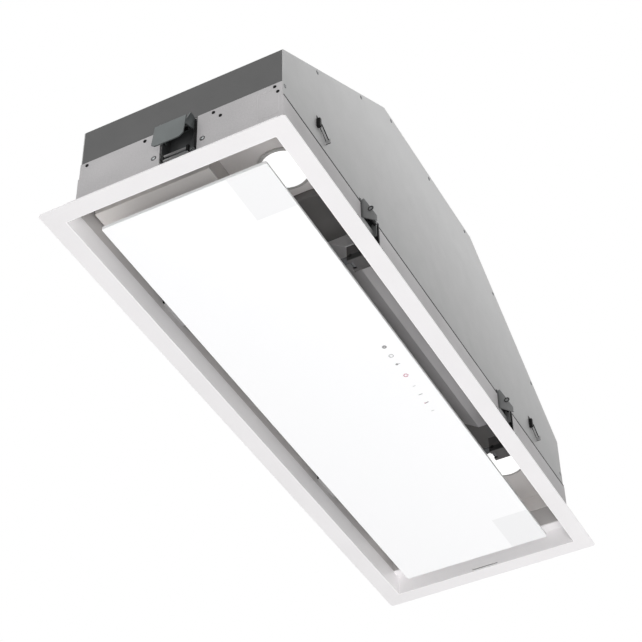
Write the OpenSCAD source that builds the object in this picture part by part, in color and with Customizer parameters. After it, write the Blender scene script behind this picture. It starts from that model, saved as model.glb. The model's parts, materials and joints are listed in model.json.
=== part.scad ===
// Ceiling and cabinet range hood insert, 75 cm class, with edge suction round a white glass panel.
// Frame: origin at the centre of the flange's bottom face, +Z up, +X along the long side,
// and -Y towards the long side that has the touch controls. All sizes are in millimetres.

/* [Flange frame] */
// Length of the flange
flange_l = 750; // [600:1:900]
// Width of the flange
flange_w = 263; // [230:1:300]
// Width of the flange outside the frame's upright wall
flange_border = 19.3; // [15:0.1:30]
// Thickness of the flange sheet
flange_t = 1.5; // [1:0.1:3]
// Height of the frame's upright wall above the flange's bottom face
upstand_h = 26; // [22:1:30]
// Corner radius of the flange
flange_corner_r = 3; // [1:0.5:8]
// Length of the slot in each end wall of the frame
end_slot_l = 33; // [20:1:60]
// Height of that slot
end_slot_h = 1.4; // [0.8:0.1:3]
// Width of the foam gasket on the flange
gasket_w = 8; // [4:1:12]
// Thickness of the gasket
gasket_t = 2; // [1:0.5:4]

/* [Body shell] */
// Ledge of the frame inside its upright wall at each end of the housing
end_ledge = 12.7; // [8:0.1:20]
// Thickness of the housing sheets
sheet = 1; // [0.8:0.1:1.6]
// Thickness of the frame and skirt sheets
skirt_sheet = 1.2; // [1:0.1:2]
// Height of the seam between the skirt and the side panels
seam_z = 69.4; // [66:0.2:74]
// Height of the top edge of the light end skirts
end_skirt_z = 89.6; // [88:0.2:100]
// Height of the end walls, where the roof slopes begin
eave_z = 137; // [125:1:160]
// Height of the flat roof
roof_z = 285; // [280:1:330]
// Length of the flat part of the roof
roof_flat_l = 227; // [200:1:300]
// Overlap of the sheets where they are riveted
lap = 20; // [16:1:24]
// Depth of the folded lips inside the wrap
lip_d = 14; // [10:1:18]
// Radius of the shell's rivet heads
rivet_r = 1.8; // [1:0.1:2.5]

/* [Air outlet] */
// Outer diameter of the duct spigot
spigot_d = 150; // [120:1:180]
// Height of the spigot above the roof
spigot_h = 60; // [40:1:72]
// Wall of the spigot
spigot_t = 1.5; // [1:0.1:3]
// Width of the spigot's foot flange
spigot_foot = 12; // [8:1:16]
// Thickness of the damper flaps
flap_t = 1.2; // [0.8:0.1:2]
// Diameter of the damper pin
flap_pin_d = 4; // [3:0.5:6]

/* [Tray and suction box] */
// Gap between the suction box and the end walls
box_end_gap = 26; // [22:1:34]
// Gap between the suction box and the control housing
box_front_gap = 16; // [12:1:20]
// Height of the suction box's bottom face
box_z = 44; // [40:1:50]
// Gap behind the suction box
box_gap = 1.6; // [1.4:0.1:2]
// Length of the suction box beyond each grease filter
filter_end = 54; // [50:1:70]
// Depth of the suction box in front of the filters
filter_front_gap = 19; // [18:1:26]
// Thickness of a grease filter
filter_t = 10; // [8:0.5:14]
// Gap round a grease filter
filter_gap = 1; // [0.6:0.1:2]
// Width of the filter's rim
filter_rim = 12; // [8:1:16]

/* [Lamps] */
// Distance of the lamps from the end walls
lamp_end_gap = 81; // [76:1:84]
// Distance of the lamps from the front side panel
lamp_side_gap = 42.2; // [38:0.2:48]
// Diameter of a lamp's lens
lamp_d = 47; // [40:1:54]
// Drop of the lens below the tray
lamp_drop = 5; // [3:0.5:8]

/* [Control housing] */
// Distance of the control housing from the end walls
control_end_gap = 118; // [114:1:130]
// Depth of the control housing
control_d = 55; // [50:1:58]
// Height of its bottom face
control_z = 60; // [56:1:64]
// Height of its side walls
control_h = 15; // [14:0.5:15]
// Corner radius of the housing
control_r = 12; // [6:1:16]
// Distance of the folded cover strip from the end walls
cover_end_gap = 181; // [176:1:190]
// Depth of the flat part of the cover strip
cover_d = 28.8; // [24:0.2:34]

/* [Glass panel] */
// Gap between the glass and the frame at the ends
glass_end_gap = 23.7; // [20:0.1:30]
// Gap between the glass and the frame at the sides
glass_side_gap = 23.2; // [22:0.1:26]
// Thickness of the glass
glass_t = 4; // [3:0.5:6]
// Corner radius of the glass
glass_r = 2; // [1:0.5:6]
// Inset of the carrier from the edge of the glass
carrier_inset = 14; // [10:1:20]
// Height of the carrier's rim
carrier_h = 10; // [8:0.5:12]
// Length of the light windows at the front corners
window_l = 60; // [50:1:70]
// Depth of the light windows
window_d = 43; // [36:1:50]
// Distance of the hinges from the end walls
hinge_end_gap = 173; // [160:1:186]
// Diameter of the hinge pins
hinge_pin_d = 4; // [3:0.5:5]

/* [Fan] */
// Diameter of the impeller
impeller_d = 140; // [120:1:142]
// Gap between the impeller and the sides of its scroll
impeller_gap = 7; // [5:0.5:10]
// Number of blades in each half of the impeller
blade_count = 30; // [16:1:40]
// Distance of the fan scroll from the side panels
scroll_side_gap = 60.2; // [57:0.2:64]
// Height of the fan axis
fan_z = 172; // [172:1:176]
// Offset of the fan axis from the middle of the hood
fan_x = -45; // [-60:1:-35]
// Diameter of the motor
motor_d = 88; // [70:1:100]
// Length of the motor
motor_l = 36; // [28:1:40]
// Diameter of the motor shaft
shaft_d = 8; // [6:0.5:10]

/* [Clamps] */
// Width of the cut-outs for the clamps
clamp_w = 41; // [36:1:46]
// Height of the cut-outs' lower edge
clamp_low_z = 38; // [34:1:42]
// Height of the cut-outs' upper edge
clamp_top_z = 89.6; // [89.6:0.1:91]
// Distance of the first side clamps from their end wall
clamp_a_gap = 177; // [170:1:186]
// Distance of the second side clamps from their end wall
clamp_b_gap = 175; // [170:1:186]
// How much lower the side clamps sit than the end clamps
clamp_drop = 12; // [11:0.5:13]
// Height of the side cut-outs' lower edge
side_low_z = 35; // [34:0.5:36]
// Reach of an end wing's lower edge outside the skirt
wing_reach = 20; // [17:0.5:22]
// Height of an end wing's lower edge
wing_low_z = 45.6; // [44:0.2:50]
// Height of an end wing's plate
wing_h = 33.4; // [30:0.2:36]
// Reach of a side wing outside the skirt
side_wing_reach = 15.4; // [13:0.2:16]

/* [Hidden] */
$fn = 48;

// Overrun of every cut past the face it cuts
over = 1;
// Half turn and quarter turn
half_turn = 180;
quarter_turn = 90;
full_turn = 360;
half_share = 0.5;

// Body planes
opening_l = flange_l - 2 * flange_border;
opening_w = flange_w - 2 * flange_border;
body_l = opening_l - 2 * end_ledge;
body_w = opening_w;
side_y = body_w / 2;
end_x = body_l / 2;
skirt_y = side_y + skirt_sheet;
skirt_x = end_x + skirt_sheet;
inner_y = side_y - sheet;
inner_x = end_x - sheet;
roof_x = roof_flat_l / 2;
slope_run = end_x - roof_x;
slope_rise = roof_z - eave_z;
tray_z = seam_z;
// Rim of the frame, gasket and slot
rim_x = opening_l / 2 + skirt_sheet;
rim_y = opening_w / 2 + skirt_sheet;
end_slot_z = 2.4;
gasket_edge = 1.5;
gasket_x = flange_l / 2 - gasket_edge;
gasket_y = flange_w / 2 - gasket_edge;
lap_z = seam_z - lap;
tray_fit = 0.2;
tray_x = inner_x - tray_fit;
tray_y = inner_y - sheet - tray_fit;

// Tabs punched out of the front panel
tab_end_gap = 72.5;
tab_second_gap = 91;
tab_xs = [-end_x + tab_end_gap, end_x - tab_second_gap];
tab_hole_w = 10;
tab_hole_h = 8;
tab_z = 104;
tab_strap_w = 4;
tab_strap_x = 12;
tab_strap_h = 16;
tab_sink = 0.5;
tab_out = 6;
tab_plate_h = 5;

// Rivets and screws of the shell
rivet_head_h = 0.9;
bracket_rivet_r = 2.6;
bracket_rivet_z = 55;
bracket_rivet_u = 26.7;
screw_head_r = 2.6;
screw_head_h = 1.2;
screw_z = 85;
screw_edge = 8;
screw_y_wide = side_y - screw_edge;
screw_y_narrow = 38;

// Damper
flap_clear = 1.5;
flap_rise = 6;
flap_z = roof_z + flap_rise;
spigot_r = spigot_d / 2;
spigot_bore_r = spigot_r - spigot_t;
flap_knuckle_r = 3.5;
flap_knuckle_len = 16;
flap_fit = 0.05;

// Suction box and tray
box_l = body_l - 2 * box_end_gap;
box_back_y = side_y - sheet - box_gap;
control_front_gap = 22.2;
control_front_y = -side_y + control_front_gap;
control_back_y = control_front_y + control_d;
box_front_y = control_back_y + box_front_gap;
mouth_end_gap = 17;
mouth_front_gap = 11;
mouth_rear_gap = 17.6;
box_mouth_l = box_l - 2 * mouth_end_gap;
box_mouth_rear_y = box_back_y - mouth_rear_gap;
box_mouth_front_y = box_front_y + mouth_front_gap;
mouth_gap_x = 32;
mouth_half_l = (box_mouth_l - mouth_gap_x) / 4;
mouth_mid_x = mouth_gap_x / 2 + mouth_half_l;
filter_rear_gap = 21.6;
filter_front_y = box_front_y + filter_front_gap;
filter_back_y = box_back_y - filter_rear_gap;
filter_rib = 26;
filter_l = (box_l - filter_rib) / 2 - filter_end;
filter_mid_x = filter_rib / 2 + filter_l / 2;
filter_axis_in = 5;
filter_axis_y = filter_back_y - filter_axis_in;
filter_axis_z = box_z + filter_axis_in;
tray_lip = 12;
lamp_x = end_x - lamp_end_gap;
lamp_y = side_y - lamp_side_gap;
lamp_r = lamp_d / 2;
lamp_hole_gap = 2.4;
lamp_hole_r = lamp_r + lamp_hole_gap;
bezel_w = 4;
bezel_r = lamp_r + bezel_w;
bezel_t = 1.6;
lens_fit = 0.2;
module_r = lamp_r + 1;
module_h = 14;
fin_count = 9;
fin_t = 1.6;
fin_h = 10;

// Control housing
control_l = body_l - 2 * control_end_gap;
cover_l = body_l - 2 * cover_end_gap;
control_wall = 2.2;
control_lip = 4;
control_fit = 0.3;
cover_slope_d = 22;
board_t = 1.6;
board_gap = 4;
gland_x = 88;
gland_side_gap = 42.2;
gland_y = side_y - gland_side_gap;
gland_r = 8;
gland_bore_r = 3.5;
gland_h = 14;
gland_nut_r = 11;
gland_nut_h = 5;

// Panel hinge and catches
hinge_x = end_x - hinge_end_gap;
hinge_axis_gap = 16.2;
hinge_axis_y = -side_y + hinge_axis_gap;
hinge_axis_z = 11;
hinge_pin_r = hinge_pin_d / 2;
hinge_fit = 0.05;
block_w = 17.4;
block_low_z = 5;
block_top_z = 24;
block_cap_z = 6;
block_cap_gap = 1;
block_d = 19.7;
block_back_y = -side_y;
block_front_y = block_back_y + block_d;
block_slot_w = 9.4;
knuckle_r = 4.5;
knuckle_w = 8.4;
arm_t = 2;
glass_l = opening_l - 2 * glass_end_gap;
glass_w = opening_w - 2 * glass_side_gap;
arm_reach = 31;
arm_foot_y = -glass_w / 2 + arm_reach;
arm_foot_w = 16;
carrier_l = glass_l - 2 * carrier_inset;
carrier_w = glass_w - 2 * carrier_inset;
carrier_top_z = glass_t + carrier_h;
catch_end_gap = 67;
catch_x = end_x - catch_end_gap;
catch_edge = 25;
catch_y = glass_w / 2 - catch_edge;
magnet_r = 6;
magnet_h = 4;
magnet_gap = 0.3;
catch_w = 18;
catch_leg_gap = 3;
catch_leg_y = glass_w / 2 + catch_leg_gap;
catch_t = 2;
striker_t = 1;
striker_w = 24;

// Fan
impeller_r = impeller_d / 2;
impeller_ring_h = 6;
impeller_ring_w = 5;
blade_depth = 15;
blade_t = 1.2;
hub_r = 22;
hub_t = 3;
hub_boss_r = 11;
hub_boss_l = 24;
shaft_r = shaft_d / 2;
shaft_fit = 0.05;
scroll_w = body_w - 2 * scroll_side_gap;
impeller_w = scroll_w - 2 * impeller_gap;
scroll_t = 1.2;
scroll_gap = 9;
scroll_growth = 22;
scroll_steps = 36;
inlet_overlap = 9;
inlet_r = impeller_r - inlet_overlap;
inlet_lip = 8;
inlet_t = 1.5;
motor_gap = 6;
bracket_arm_w = 12;
bracket_arm_t = 2;
mount_r = 6;
mount_h = 10;

// Clamps: 1 and 2 on the ends, 3 and 4 on the front, 5 and 6 on the rear
clamps = [1:6];
clamp_x_a = -end_x + clamp_a_gap;
clamp_x_b = end_x - clamp_b_gap;
side_low_local = side_low_z + clamp_drop;
bracket_t = 1.2;
bracket_depth = 15;
bracket_ear = 11;
bracket_ear_low_z = 50;
bracket_ear_top_z = 61;
clamp_fit = 0.2;
wing_gap = 2;
wing_t = 1.2;
wing_w = clamp_w - 2 * bracket_t - 2 * wing_gap;
wing_lean = 5;
wing_corner = 4;
wing_sink = 0.6;
wing_axis_z = 84;
wing_axis_in = 2.5;
wing_pin_r = 1.6;
wing_pin_fit = 0.05;
wing_boss_r = 4;
wing_head_out = 9.3;
wing_head_z = 70.7;
wing_head_r = 3.4;
wing_head_h = 0.6;
clamp_rod_r = 1;
clamp_rod_in = 10;
clamp_rod_high_z = 58;
clamp_rod_low_z = 52;
spring_r = 3;
spring_l = 14;
// Clamp pocket
cut_depth = 12;
wall_in = skirt_sheet + sheet;
pocket_top_z = 96;
bracket_slot = clamp_w / 2 + clamp_fit;
slot_inset = 3;
slot_w = 5;
slot_rise = 10;
slot_top_z = 76;
pin_cheek_out = 2.2;
pin_cheek_r = 3.4;
wing_skin = 1.3;
arm_low_z = 65.7;
arm_low_in_z = 73;
arm_high_z = 70.2;
arm_top_out = 7.3;
arm_top_z = 90;
arm_crown_out = 2;
arm_crown_z = 90.5;
side_top_out = 2.2;
side_top_z = 89;
side_reach_z = 58.7;
side_reach_low_z = 51.7;
side_in = 1;
side_in_z = 64;
side_back_z = 70;
web_low_z = 68;
web_top_z = 77;
spring_leg = 1.2;
rod_half = 15;
back_screw_z = 69;

// Suction box recesses and hinge lugs
notch_side = 2;
notch_half = clamp_w / 2 + notch_side;
notch_gap = 0.5;
notch_y = skirt_y - wall_in - bracket_depth - notch_gap;
lug_t = 2;
lug_half = 4.5;
lug_mid = filter_l / 2 + filter_gap + lug_t / 2;
filter_back_gap = 2.2;
filter_wall = 1;
peg_r = 2;
peg_fit = 0.05;
peg_reach = filter_wall + filter_gap + lug_t;
latch_w = 30;
latch_fit = 0.3;
latch_len = 9;
latch_low = 1.2;
latch_h = 5;
latch_nose = 0.9;
latch_nose_h = 2.5;
latch_travel = 6;
latch_grip_in = 2;
latch_grip_t = 2;
latch_grip_h = 3;

// Control housing details
cover_front_y = -inner_y;
cover_edge_y = cover_front_y + cover_d;
cover_top_y = cover_edge_y + cover_slope_d;
cover_end_l = 8;
cover_end_y = cover_top_y + cover_end_l;
cover_cheek_gap = 1;
cover_cheek_y = -notch_y + cover_cheek_gap;
ear_inset = 35;
ear_x = control_l / 2 - ear_inset;
boss_inset = 14;
ear_front_y = control_front_y + boss_inset;
ear_back_y = control_back_y - boss_inset;
boss_r = 4;
board_top_z = control_z + board_gap + board_t;
transformer_l = 60;
transformer_h = 9;
relay_count = 5;
relay_pitch = 24;
relay_l = 18;
relay_w = 12;
relay_h = 8.5;
term_x = 80;
term_gap = 5;
term_y = control_back_y + term_gap;
term_l = 60;
term_w = 20;
term_h = 20;
term_count = 5;
term_depth = 14;
term_hole_r = 2.5;
gland_fit = 0.2;

// Lamp details
dome_h = 2.4;
dome_steps = 8;
dome_join = 0.5;
lens_wall = 2;
module_foot = 1.5;

// Fan details
tongue_angle = 112;
mouth_left_x = -66;
mouth_right_x = fan_x + impeller_r + scroll_gap + scroll_growth;
scroll_top_z = roof_z - sheet;
motor_r = motor_d / 2;
motor_y = scroll_w / 2 + motor_gap;
motor_nose = 4;
bracket_y = scroll_w / 2 + mount_h;
mount_angles = [200, 270, 340];
mount_ring_gap = 9;
mount_ring_r = impeller_r + mount_ring_gap;
blade_lean = 35;
blade_half = 7.5;

// Damper details
flap_pin_r = flap_pin_d / 2;
flap_start = 4.2;
flap_stop_w = 4;
flap_stop_gap = 0.1;
flap_stop_drop = flap_t / 2 + flap_stop_gap;
flap_knuckle_far = 52;
flap_knuckle_near = 14;

// Hinge, catch and panel details
block_slot_r = 5.5;
catch_shelf_z = carrier_top_z + striker_t + magnet_gap + magnet_h;
striker_d = 14;
arm_foot_d = 16;
arm_foot_front_y = arm_foot_y - arm_foot_d;
carrier_lip = 18;
window_x = window_l - carrier_inset;
notch_front_y = -glass_w / 2 + window_d;
touch_x = 4;
touch_inset = 22;
touch_y = -glass_w / 2 + touch_inset;
touch_l = 136;
touch_w = 14;
touch_edge = 3;
touch_slot = 10;
touch_chip = 20;
touch_pad_r = 4;
touch_key_shares = [-0.427, -0.313, -0.205, -0.058, 0.085, 0.199, 0.31, 0.421];

// Rivets on the long sides
rivet_roof_in = 7.2;
rivet_in = 5.6;
rivet_flat_gap = 16.5;
rivet_high_share = 0.255;
rivet_low_share = 0.69;
rivet_end_gap = 4;
rivet_end_z = 87;
rivet_places = [[roof_x - rivet_flat_gap, roof_z - rivet_in],
    [roof_x + rivet_high_share * slope_run, roof_z - rivet_high_share * slope_rise - rivet_in],
    [roof_x + rivet_low_share * slope_run, roof_z - rivet_low_share * slope_rise - rivet_in],
    [end_x - rivet_end_gap, rivet_end_z]];

// Outline of the hexagonal shell, set in by i from its outer faces, as x and z pairs
slope_len = sqrt(slope_run * slope_run + slope_rise * slope_rise);
function eave_at(i) = eave_z - i * (slope_len - slope_rise) / slope_run;
function roof_at(i) = roof_x - i * (slope_len - slope_run) / slope_rise;
function shell_outline(i, low) = [
    [-(end_x - i), low], [end_x - i, low], [end_x - i, eave_at(i)],
    [roof_at(i), roof_z - i], [-roof_at(i), roof_z - i], [-(end_x - i), eave_at(i)]];

// A box between two corners
module slab(x0, x1, y0, y1, z0, z1) {
    translate([x0, y0, z0]) cube([x1 - x0, y1 - y0, z1 - z0]);
}

// A prism along Y over an outline of x and z pairs
module prism_y(points, y0, y1) {
    translate([0, y1, 0]) rotate([quarter_turn, 0, 0]) linear_extrude(y1 - y0) polygon(points);
}

// A prism along X over an outline of y and z pairs
module prism_x(points, x0, x1) {
    translate([x0, 0, 0]) rotate([quarter_turn, 0, quarter_turn]) linear_extrude(x1 - x0) polygon(points);
}

// Round bars along the three axes
module rod_x(x0, x1, y, z, r) {
    translate([x0, y, z]) rotate([0, quarter_turn, 0]) cylinder(h = x1 - x0, r = r);
}
module rod_y(x, y0, y1, z, r) {
    translate([x, y1, z]) rotate([quarter_turn, 0, 0]) cylinder(h = y1 - y0, r = r);
}
module rod_z(x, y, z0, z1, r) {
    translate([x, y, z0]) cylinder(h = z1 - z0, r = r);
}

// A plate with four round corners, lying flat
module round_plate(x0, x1, y0, y1, z0, z1, r) {
    slab(x0 + r, x1 - r, y0, y1, z0, z1);
    slab(x0, x1, y0 + r, y1 - r, z0, z1);
    for (x = [x0 + r, x1 - r], y = [y0 + r, y1 - r]) rod_z(x, y, z0, z1, r);
}

// The same piece on both sides of the middle
module both_x() {
    children();
    mirror([1, 0, 0]) children();
}
module both_y() {
    children();
    mirror([0, 1, 0]) children();
}

// Places of the six clamps: local +Y points out of the wall, and y = 0 is the skirt's outer face.
// The four on the long sides sit lower than the two on the ends.
function clamp_low(i) = i > 2 ? side_low_local : clamp_low_z;
module clamp_at(i) {
    if (i == 1) translate([-skirt_x, 0, 0]) rotate([0, 0, quarter_turn]) children();
    if (i == 2) translate([skirt_x, 0, 0]) rotate([0, 0, -quarter_turn]) children();
    if (i == 3) translate([clamp_x_a, -skirt_y, -clamp_drop]) rotate([0, 0, half_turn]) children();
    if (i == 4) translate([clamp_x_b, -skirt_y, -clamp_drop]) rotate([0, 0, half_turn]) children();
    if (i == 5) translate([clamp_x_a, skirt_y, -clamp_drop]) children();
    if (i == 6) translate([clamp_x_b, skirt_y, -clamp_drop]) children();
}
module clamp_cuts() {
    for (i = clamps) clamp_at(i)
        slab(-clamp_w / 2, clamp_w / 2, -cut_depth, over, clamp_low(i), clamp_top_z);
}
module pocket_blocks(gap) {
    for (i = clamps) clamp_at(i)
        slab(-clamp_w / 2 - gap, clamp_w / 2 + gap, -wall_in - bracket_depth - gap, over,
            clamp_low(i) - gap, pocket_top_z + gap);
}

module ear_blocks(gap) {
    for (i = clamps) clamp_at(i)
        slab(-clamp_w / 2 - bracket_ear - gap, clamp_w / 2 + bracket_ear + gap,
            -wall_in - bracket_t - gap, over, bracket_ear_low_z - gap, bracket_ear_top_z + gap);
}

module flange_frame() {
    color("#eeecee") difference() {
        union() {
            round_plate(-flange_l / 2, flange_l / 2, -flange_w / 2, flange_w / 2, 0, flange_t,
                flange_corner_r);
            slab(-rim_x, rim_x, -rim_y, rim_y, 0, upstand_h);
        }
        slab(-opening_l / 2, opening_l / 2, -opening_w / 2, opening_w / 2, -over,
            upstand_h - skirt_sheet);
        slab(-end_x, end_x, -opening_w / 2, opening_w / 2, -over, upstand_h + over);
        both_x() slab(opening_l / 2 - over, rim_x + over, -end_slot_l / 2, end_slot_l / 2,
            end_slot_z, end_slot_z + end_slot_h);
    }
}

module flange_gasket() {
    color("#3a3a3a") difference() {
        slab(-gasket_x, gasket_x, -gasket_y, gasket_y, flange_t, flange_t + gasket_t);
        slab(-gasket_x + gasket_w, gasket_x - gasket_w, -gasket_y + gasket_w, gasket_y - gasket_w,
            flange_t - over, flange_t + gasket_t + over);
    }
}

module lower_skirt() {
    color("#a5a3a4") difference() {
        union() {
            difference() {
                slab(-skirt_x, skirt_x, -skirt_y, skirt_y, upstand_h, seam_z);
                slab(-end_x, end_x, -side_y, side_y, upstand_h - over, seam_z + over);
            }
            both_x() slab(end_x, skirt_x, -side_y, side_y, upstand_h, end_skirt_z);
        }
        clamp_cuts();
        for (i = [1, 2]) clamp_at(i)
            slab(-clamp_w / 2, clamp_w / 2, -skirt_sheet - over, over, clamp_low_z, end_skirt_z + over);
    }
}

// One long side panel, drawn for the rear
module side_panel() {
    prism_y(shell_outline(0, lap_z), inner_y, side_y);
}

module front_side_panel() {
    color("#b9b9b9") {
        difference() {
            mirror([0, 1, 0]) side_panel();
            clamp_cuts();
            for (x = tab_xs)
                slab(x - tab_hole_w / 2, x + tab_hole_w / 2, -side_y - over, -inner_y + over,
                    tab_z - tab_hole_h / 2, tab_z + tab_hole_h / 2);
        }
        for (x = tab_xs) translate([x, 0, tab_z - tab_hole_h / 2]) {
            prism_y([[-tab_strap_w / 2, 0], [tab_strap_x - tab_strap_w / 2, -tab_strap_h],
                [tab_strap_x + tab_strap_w / 2, -tab_strap_h], [tab_strap_w / 2, 0]],
                -side_y - sheet, -side_y + tab_sink);
            slab(tab_strap_x - sheet / 2, tab_strap_x + sheet / 2, -side_y - tab_out,
                -side_y + tab_sink, -tab_strap_h, -tab_strap_h + tab_plate_h);
        }
    }
}

module rear_side_panel() {
    color("#b9b9b9") difference() {
        side_panel();
        clamp_cuts();
    }
}

module roof_wrap() {
    color("#5e5e5e") difference() {
        prism_y(shell_outline(0, lap_z), -inner_y, inner_y);
        prism_y(shell_outline(sheet, lap_z - over), -inner_y + sheet, inner_y - sheet);
        prism_y(shell_outline(sheet + lip_d, lap_z - over), -side_y, side_y);
        slab(-inner_x, inner_x, -side_y, side_y, lap_z - over, tray_z + sheet + tray_lip + over);
        rod_z(0, 0, roof_z - sheet - over, roof_z + over, spigot_bore_r);
        rod_z(gland_x, gland_y, roof_z - sheet - over, roof_z + over, gland_r);
        clamp_cuts();
        both_x() slab(inner_x - lip_d - over, inner_x, -bracket_slot, bracket_slot,
            tray_z, pocket_top_z + clamp_fit);
    }
}

module tray() {
    color("#a8a6a4") difference() {
        slab(-tray_x, tray_x, -tray_y, tray_y, tray_z, tray_z + sheet + tray_lip);
        slab(-tray_x + sheet, tray_x - sheet, -tray_y + sheet, tray_y - sheet, tray_z + sheet,
            tray_z + sheet + tray_lip + over);
        pocket_blocks(clamp_fit);
        both_x() slab(mouth_mid_x - mouth_half_l, mouth_mid_x + mouth_half_l,
            box_mouth_front_y, box_mouth_rear_y, tray_z - over, tray_z + sheet + over);
        both_x() rod_z(lamp_x, -lamp_y, tray_z - over, tray_z + sheet + over, lamp_hole_r);
        round_plate(-control_l / 2 - control_fit, control_l / 2 + control_fit,
            control_front_y - control_fit, control_back_y + control_fit,
            tray_z - over, tray_z + sheet + over, control_r + control_fit);
    }
}

module suction_box() {
    color("#b8b5b3") difference() {
        union() {
            difference() {
                slab(-box_l / 2, box_l / 2, box_front_y, box_back_y, box_z, tray_z);
                slab(-box_l / 2 + sheet, box_l / 2 - sheet, box_front_y + sheet, box_back_y - sheet,
                    box_z + sheet, tray_z + over);
            }
            for (x = [clamp_x_a, clamp_x_b])
                slab(x - notch_half - sheet, x + notch_half + sheet, notch_y - sheet, box_back_y,
                    box_z, tray_z);
            for (s = [-1, 1], e = [-1, 1])
                translate([s * filter_mid_x + e * lug_mid, 0, 0])
                    slab(-lug_t / 2, lug_t / 2, filter_axis_y - lug_half, filter_axis_y + lug_half,
                        box_z, filter_axis_z + lug_half);
        }
        for (x = [clamp_x_a, clamp_x_b])
            slab(x - notch_half, x + notch_half, notch_y, box_back_y + over, box_z - over,
                tray_z + over);
        for (s = [-1, 1]) {
            translate([s * filter_mid_x, 0, 0])
                slab(-filter_l / 2 - filter_gap, filter_l / 2 + filter_gap,
                    filter_front_y - filter_gap, filter_back_y + filter_back_gap,
                    box_z - over, box_z + sheet + over);
            translate([s * filter_mid_x, 0, 0])
                rod_x(-lug_mid - lug_t, lug_mid + lug_t, filter_axis_y, filter_axis_z,
                    peg_r + peg_fit);
        }
    }
}

module control_cover() {
    color("#8f8d8e") difference() {
        union() {
            prism_x([[cover_front_y, box_z], [cover_edge_y, box_z], [cover_top_y, control_z - sheet],
                [cover_end_y, control_z - sheet], [cover_end_y, control_z], [cover_top_y - sheet, control_z],
                [cover_edge_y - sheet, box_z + sheet], [cover_front_y + sheet, box_z + sheet],
                [cover_front_y + sheet, control_z], [cover_front_y, control_z]],
                -cover_l / 2, cover_l / 2);
            both_x() prism_x([[cover_cheek_y, box_z], [cover_edge_y, box_z],
                [cover_top_y, control_z - sheet], [cover_cheek_y, control_z]],
                cover_l / 2 - sheet, cover_l / 2);
        }
        pocket_blocks(clamp_fit);
        ear_blocks(clamp_fit);
    }
}

module control_housing() {
    color("#4d4b4a") {
        difference() {
            union() {
                round_plate(-control_l / 2, control_l / 2, control_front_y, control_back_y,
                    control_z, control_z + control_h, control_r);
                round_plate(-control_l / 2 - control_lip, control_l / 2 + control_lip,
                    control_front_y - control_lip, control_back_y + control_lip,
                    tray_z + sheet, tray_z + sheet + control_wall, control_r + control_lip);
            }
            round_plate(-control_l / 2 + control_wall, control_l / 2 - control_wall,
                control_front_y + control_wall, control_back_y - control_wall,
                control_z + control_wall, control_z + control_h + over, control_r - control_wall);
        }
        for (x = [-ear_x, ear_x], y = [ear_front_y, ear_back_y])
            rod_z(x, y, control_z + control_wall, control_z + board_gap, boss_r);
    }
}

module housing_lid() {
    color("#3d3b3a") round_plate(-control_l / 2, control_l / 2, control_front_y, control_back_y,
        control_z + control_h, control_z + control_h + control_wall, control_r);
}

module power_board() {
    color("#2f6b3f") {
        slab(-ear_x - boss_r, ear_x + boss_r, ear_front_y - boss_r, ear_back_y + boss_r,
            control_z + board_gap, board_top_z);
        slab(-ear_x + boss_r, -ear_x + boss_r + transformer_l, ear_front_y + boss_r,
            ear_back_y - boss_r, board_top_z, board_top_z + transformer_h);
        for (n = [0:relay_count - 1])
            translate([n * relay_pitch, 0, 0])
                slab(0, relay_l, ear_front_y, ear_front_y + relay_w, board_top_z,
                    board_top_z + relay_h);
    }
}

module terminal_block() {
    color("#e8e4d8") difference() {
        slab(term_x, term_x + term_l, term_y, term_y + term_w, tray_z + sheet,
            tray_z + sheet + term_h);
        for (n = [0:term_count - 1])
            rod_z(term_x + (n + half_share) * term_l / term_count, term_y + term_w / 2,
                tray_z + sheet + term_h - term_depth, tray_z + sheet + term_h + over, term_hole_r);
    }
}

module cable_gland() {
    color("#1e1e1e") difference() {
        union() {
            rod_z(gland_x, gland_y, roof_z - sheet - gland_nut_h, roof_z + gland_h, gland_r - gland_fit);
            rod_z(gland_x, gland_y, roof_z - sheet - gland_nut_h, roof_z - sheet, gland_nut_r);
            rod_z(gland_x, gland_y, roof_z, roof_z + gland_nut_h, gland_nut_r);
        }
        rod_z(gland_x, gland_y, roof_z - sheet - gland_nut_h - over, roof_z + gland_h + over,
            gland_bore_r);
    }
}

module lamp_bezels() {
    color("#c8c6c4") both_x() translate([lamp_x, -lamp_y, 0]) difference() {
        rod_z(0, 0, tray_z - bezel_t, tray_z, bezel_r);
        rod_z(0, 0, tray_z - bezel_t - over, tray_z + over, lamp_r + lens_fit);
    }
}

module lamp_lenses() {
    color("#fbfbf8") both_x() translate([lamp_x, -lamp_y, tray_z]) difference() {
        union() {
            rod_z(0, 0, -lamp_drop + dome_h, sheet, lamp_r);
            rotate_extrude() polygon([for (n = [0:dome_steps])
                [lamp_r * n / dome_steps,
                    -lamp_drop + dome_h * (1 - sqrt(1 - pow(n / dome_steps, 2)))],
                [0, -lamp_drop + dome_h + dome_join]]);
        }
        rod_z(0, 0, -lamp_drop + dome_h + sheet, sheet + over, lamp_r - lens_wall);
    }
}

module lamp_modules() {
    color("#9a9a9a") both_x() translate([lamp_x, -lamp_y, tray_z + sheet]) {
        rod_z(0, 0, 0, module_foot, module_r + lamp_hole_r - lamp_r);
        rod_z(0, 0, 0, module_h, module_r - fin_h);
        for (n = [0:fin_count - 1])
            rotate([0, 0, n * half_turn / fin_count])
                slab(-module_r, module_r, -fin_t / 2, fin_t / 2, 0, module_h);
    }
}

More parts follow.
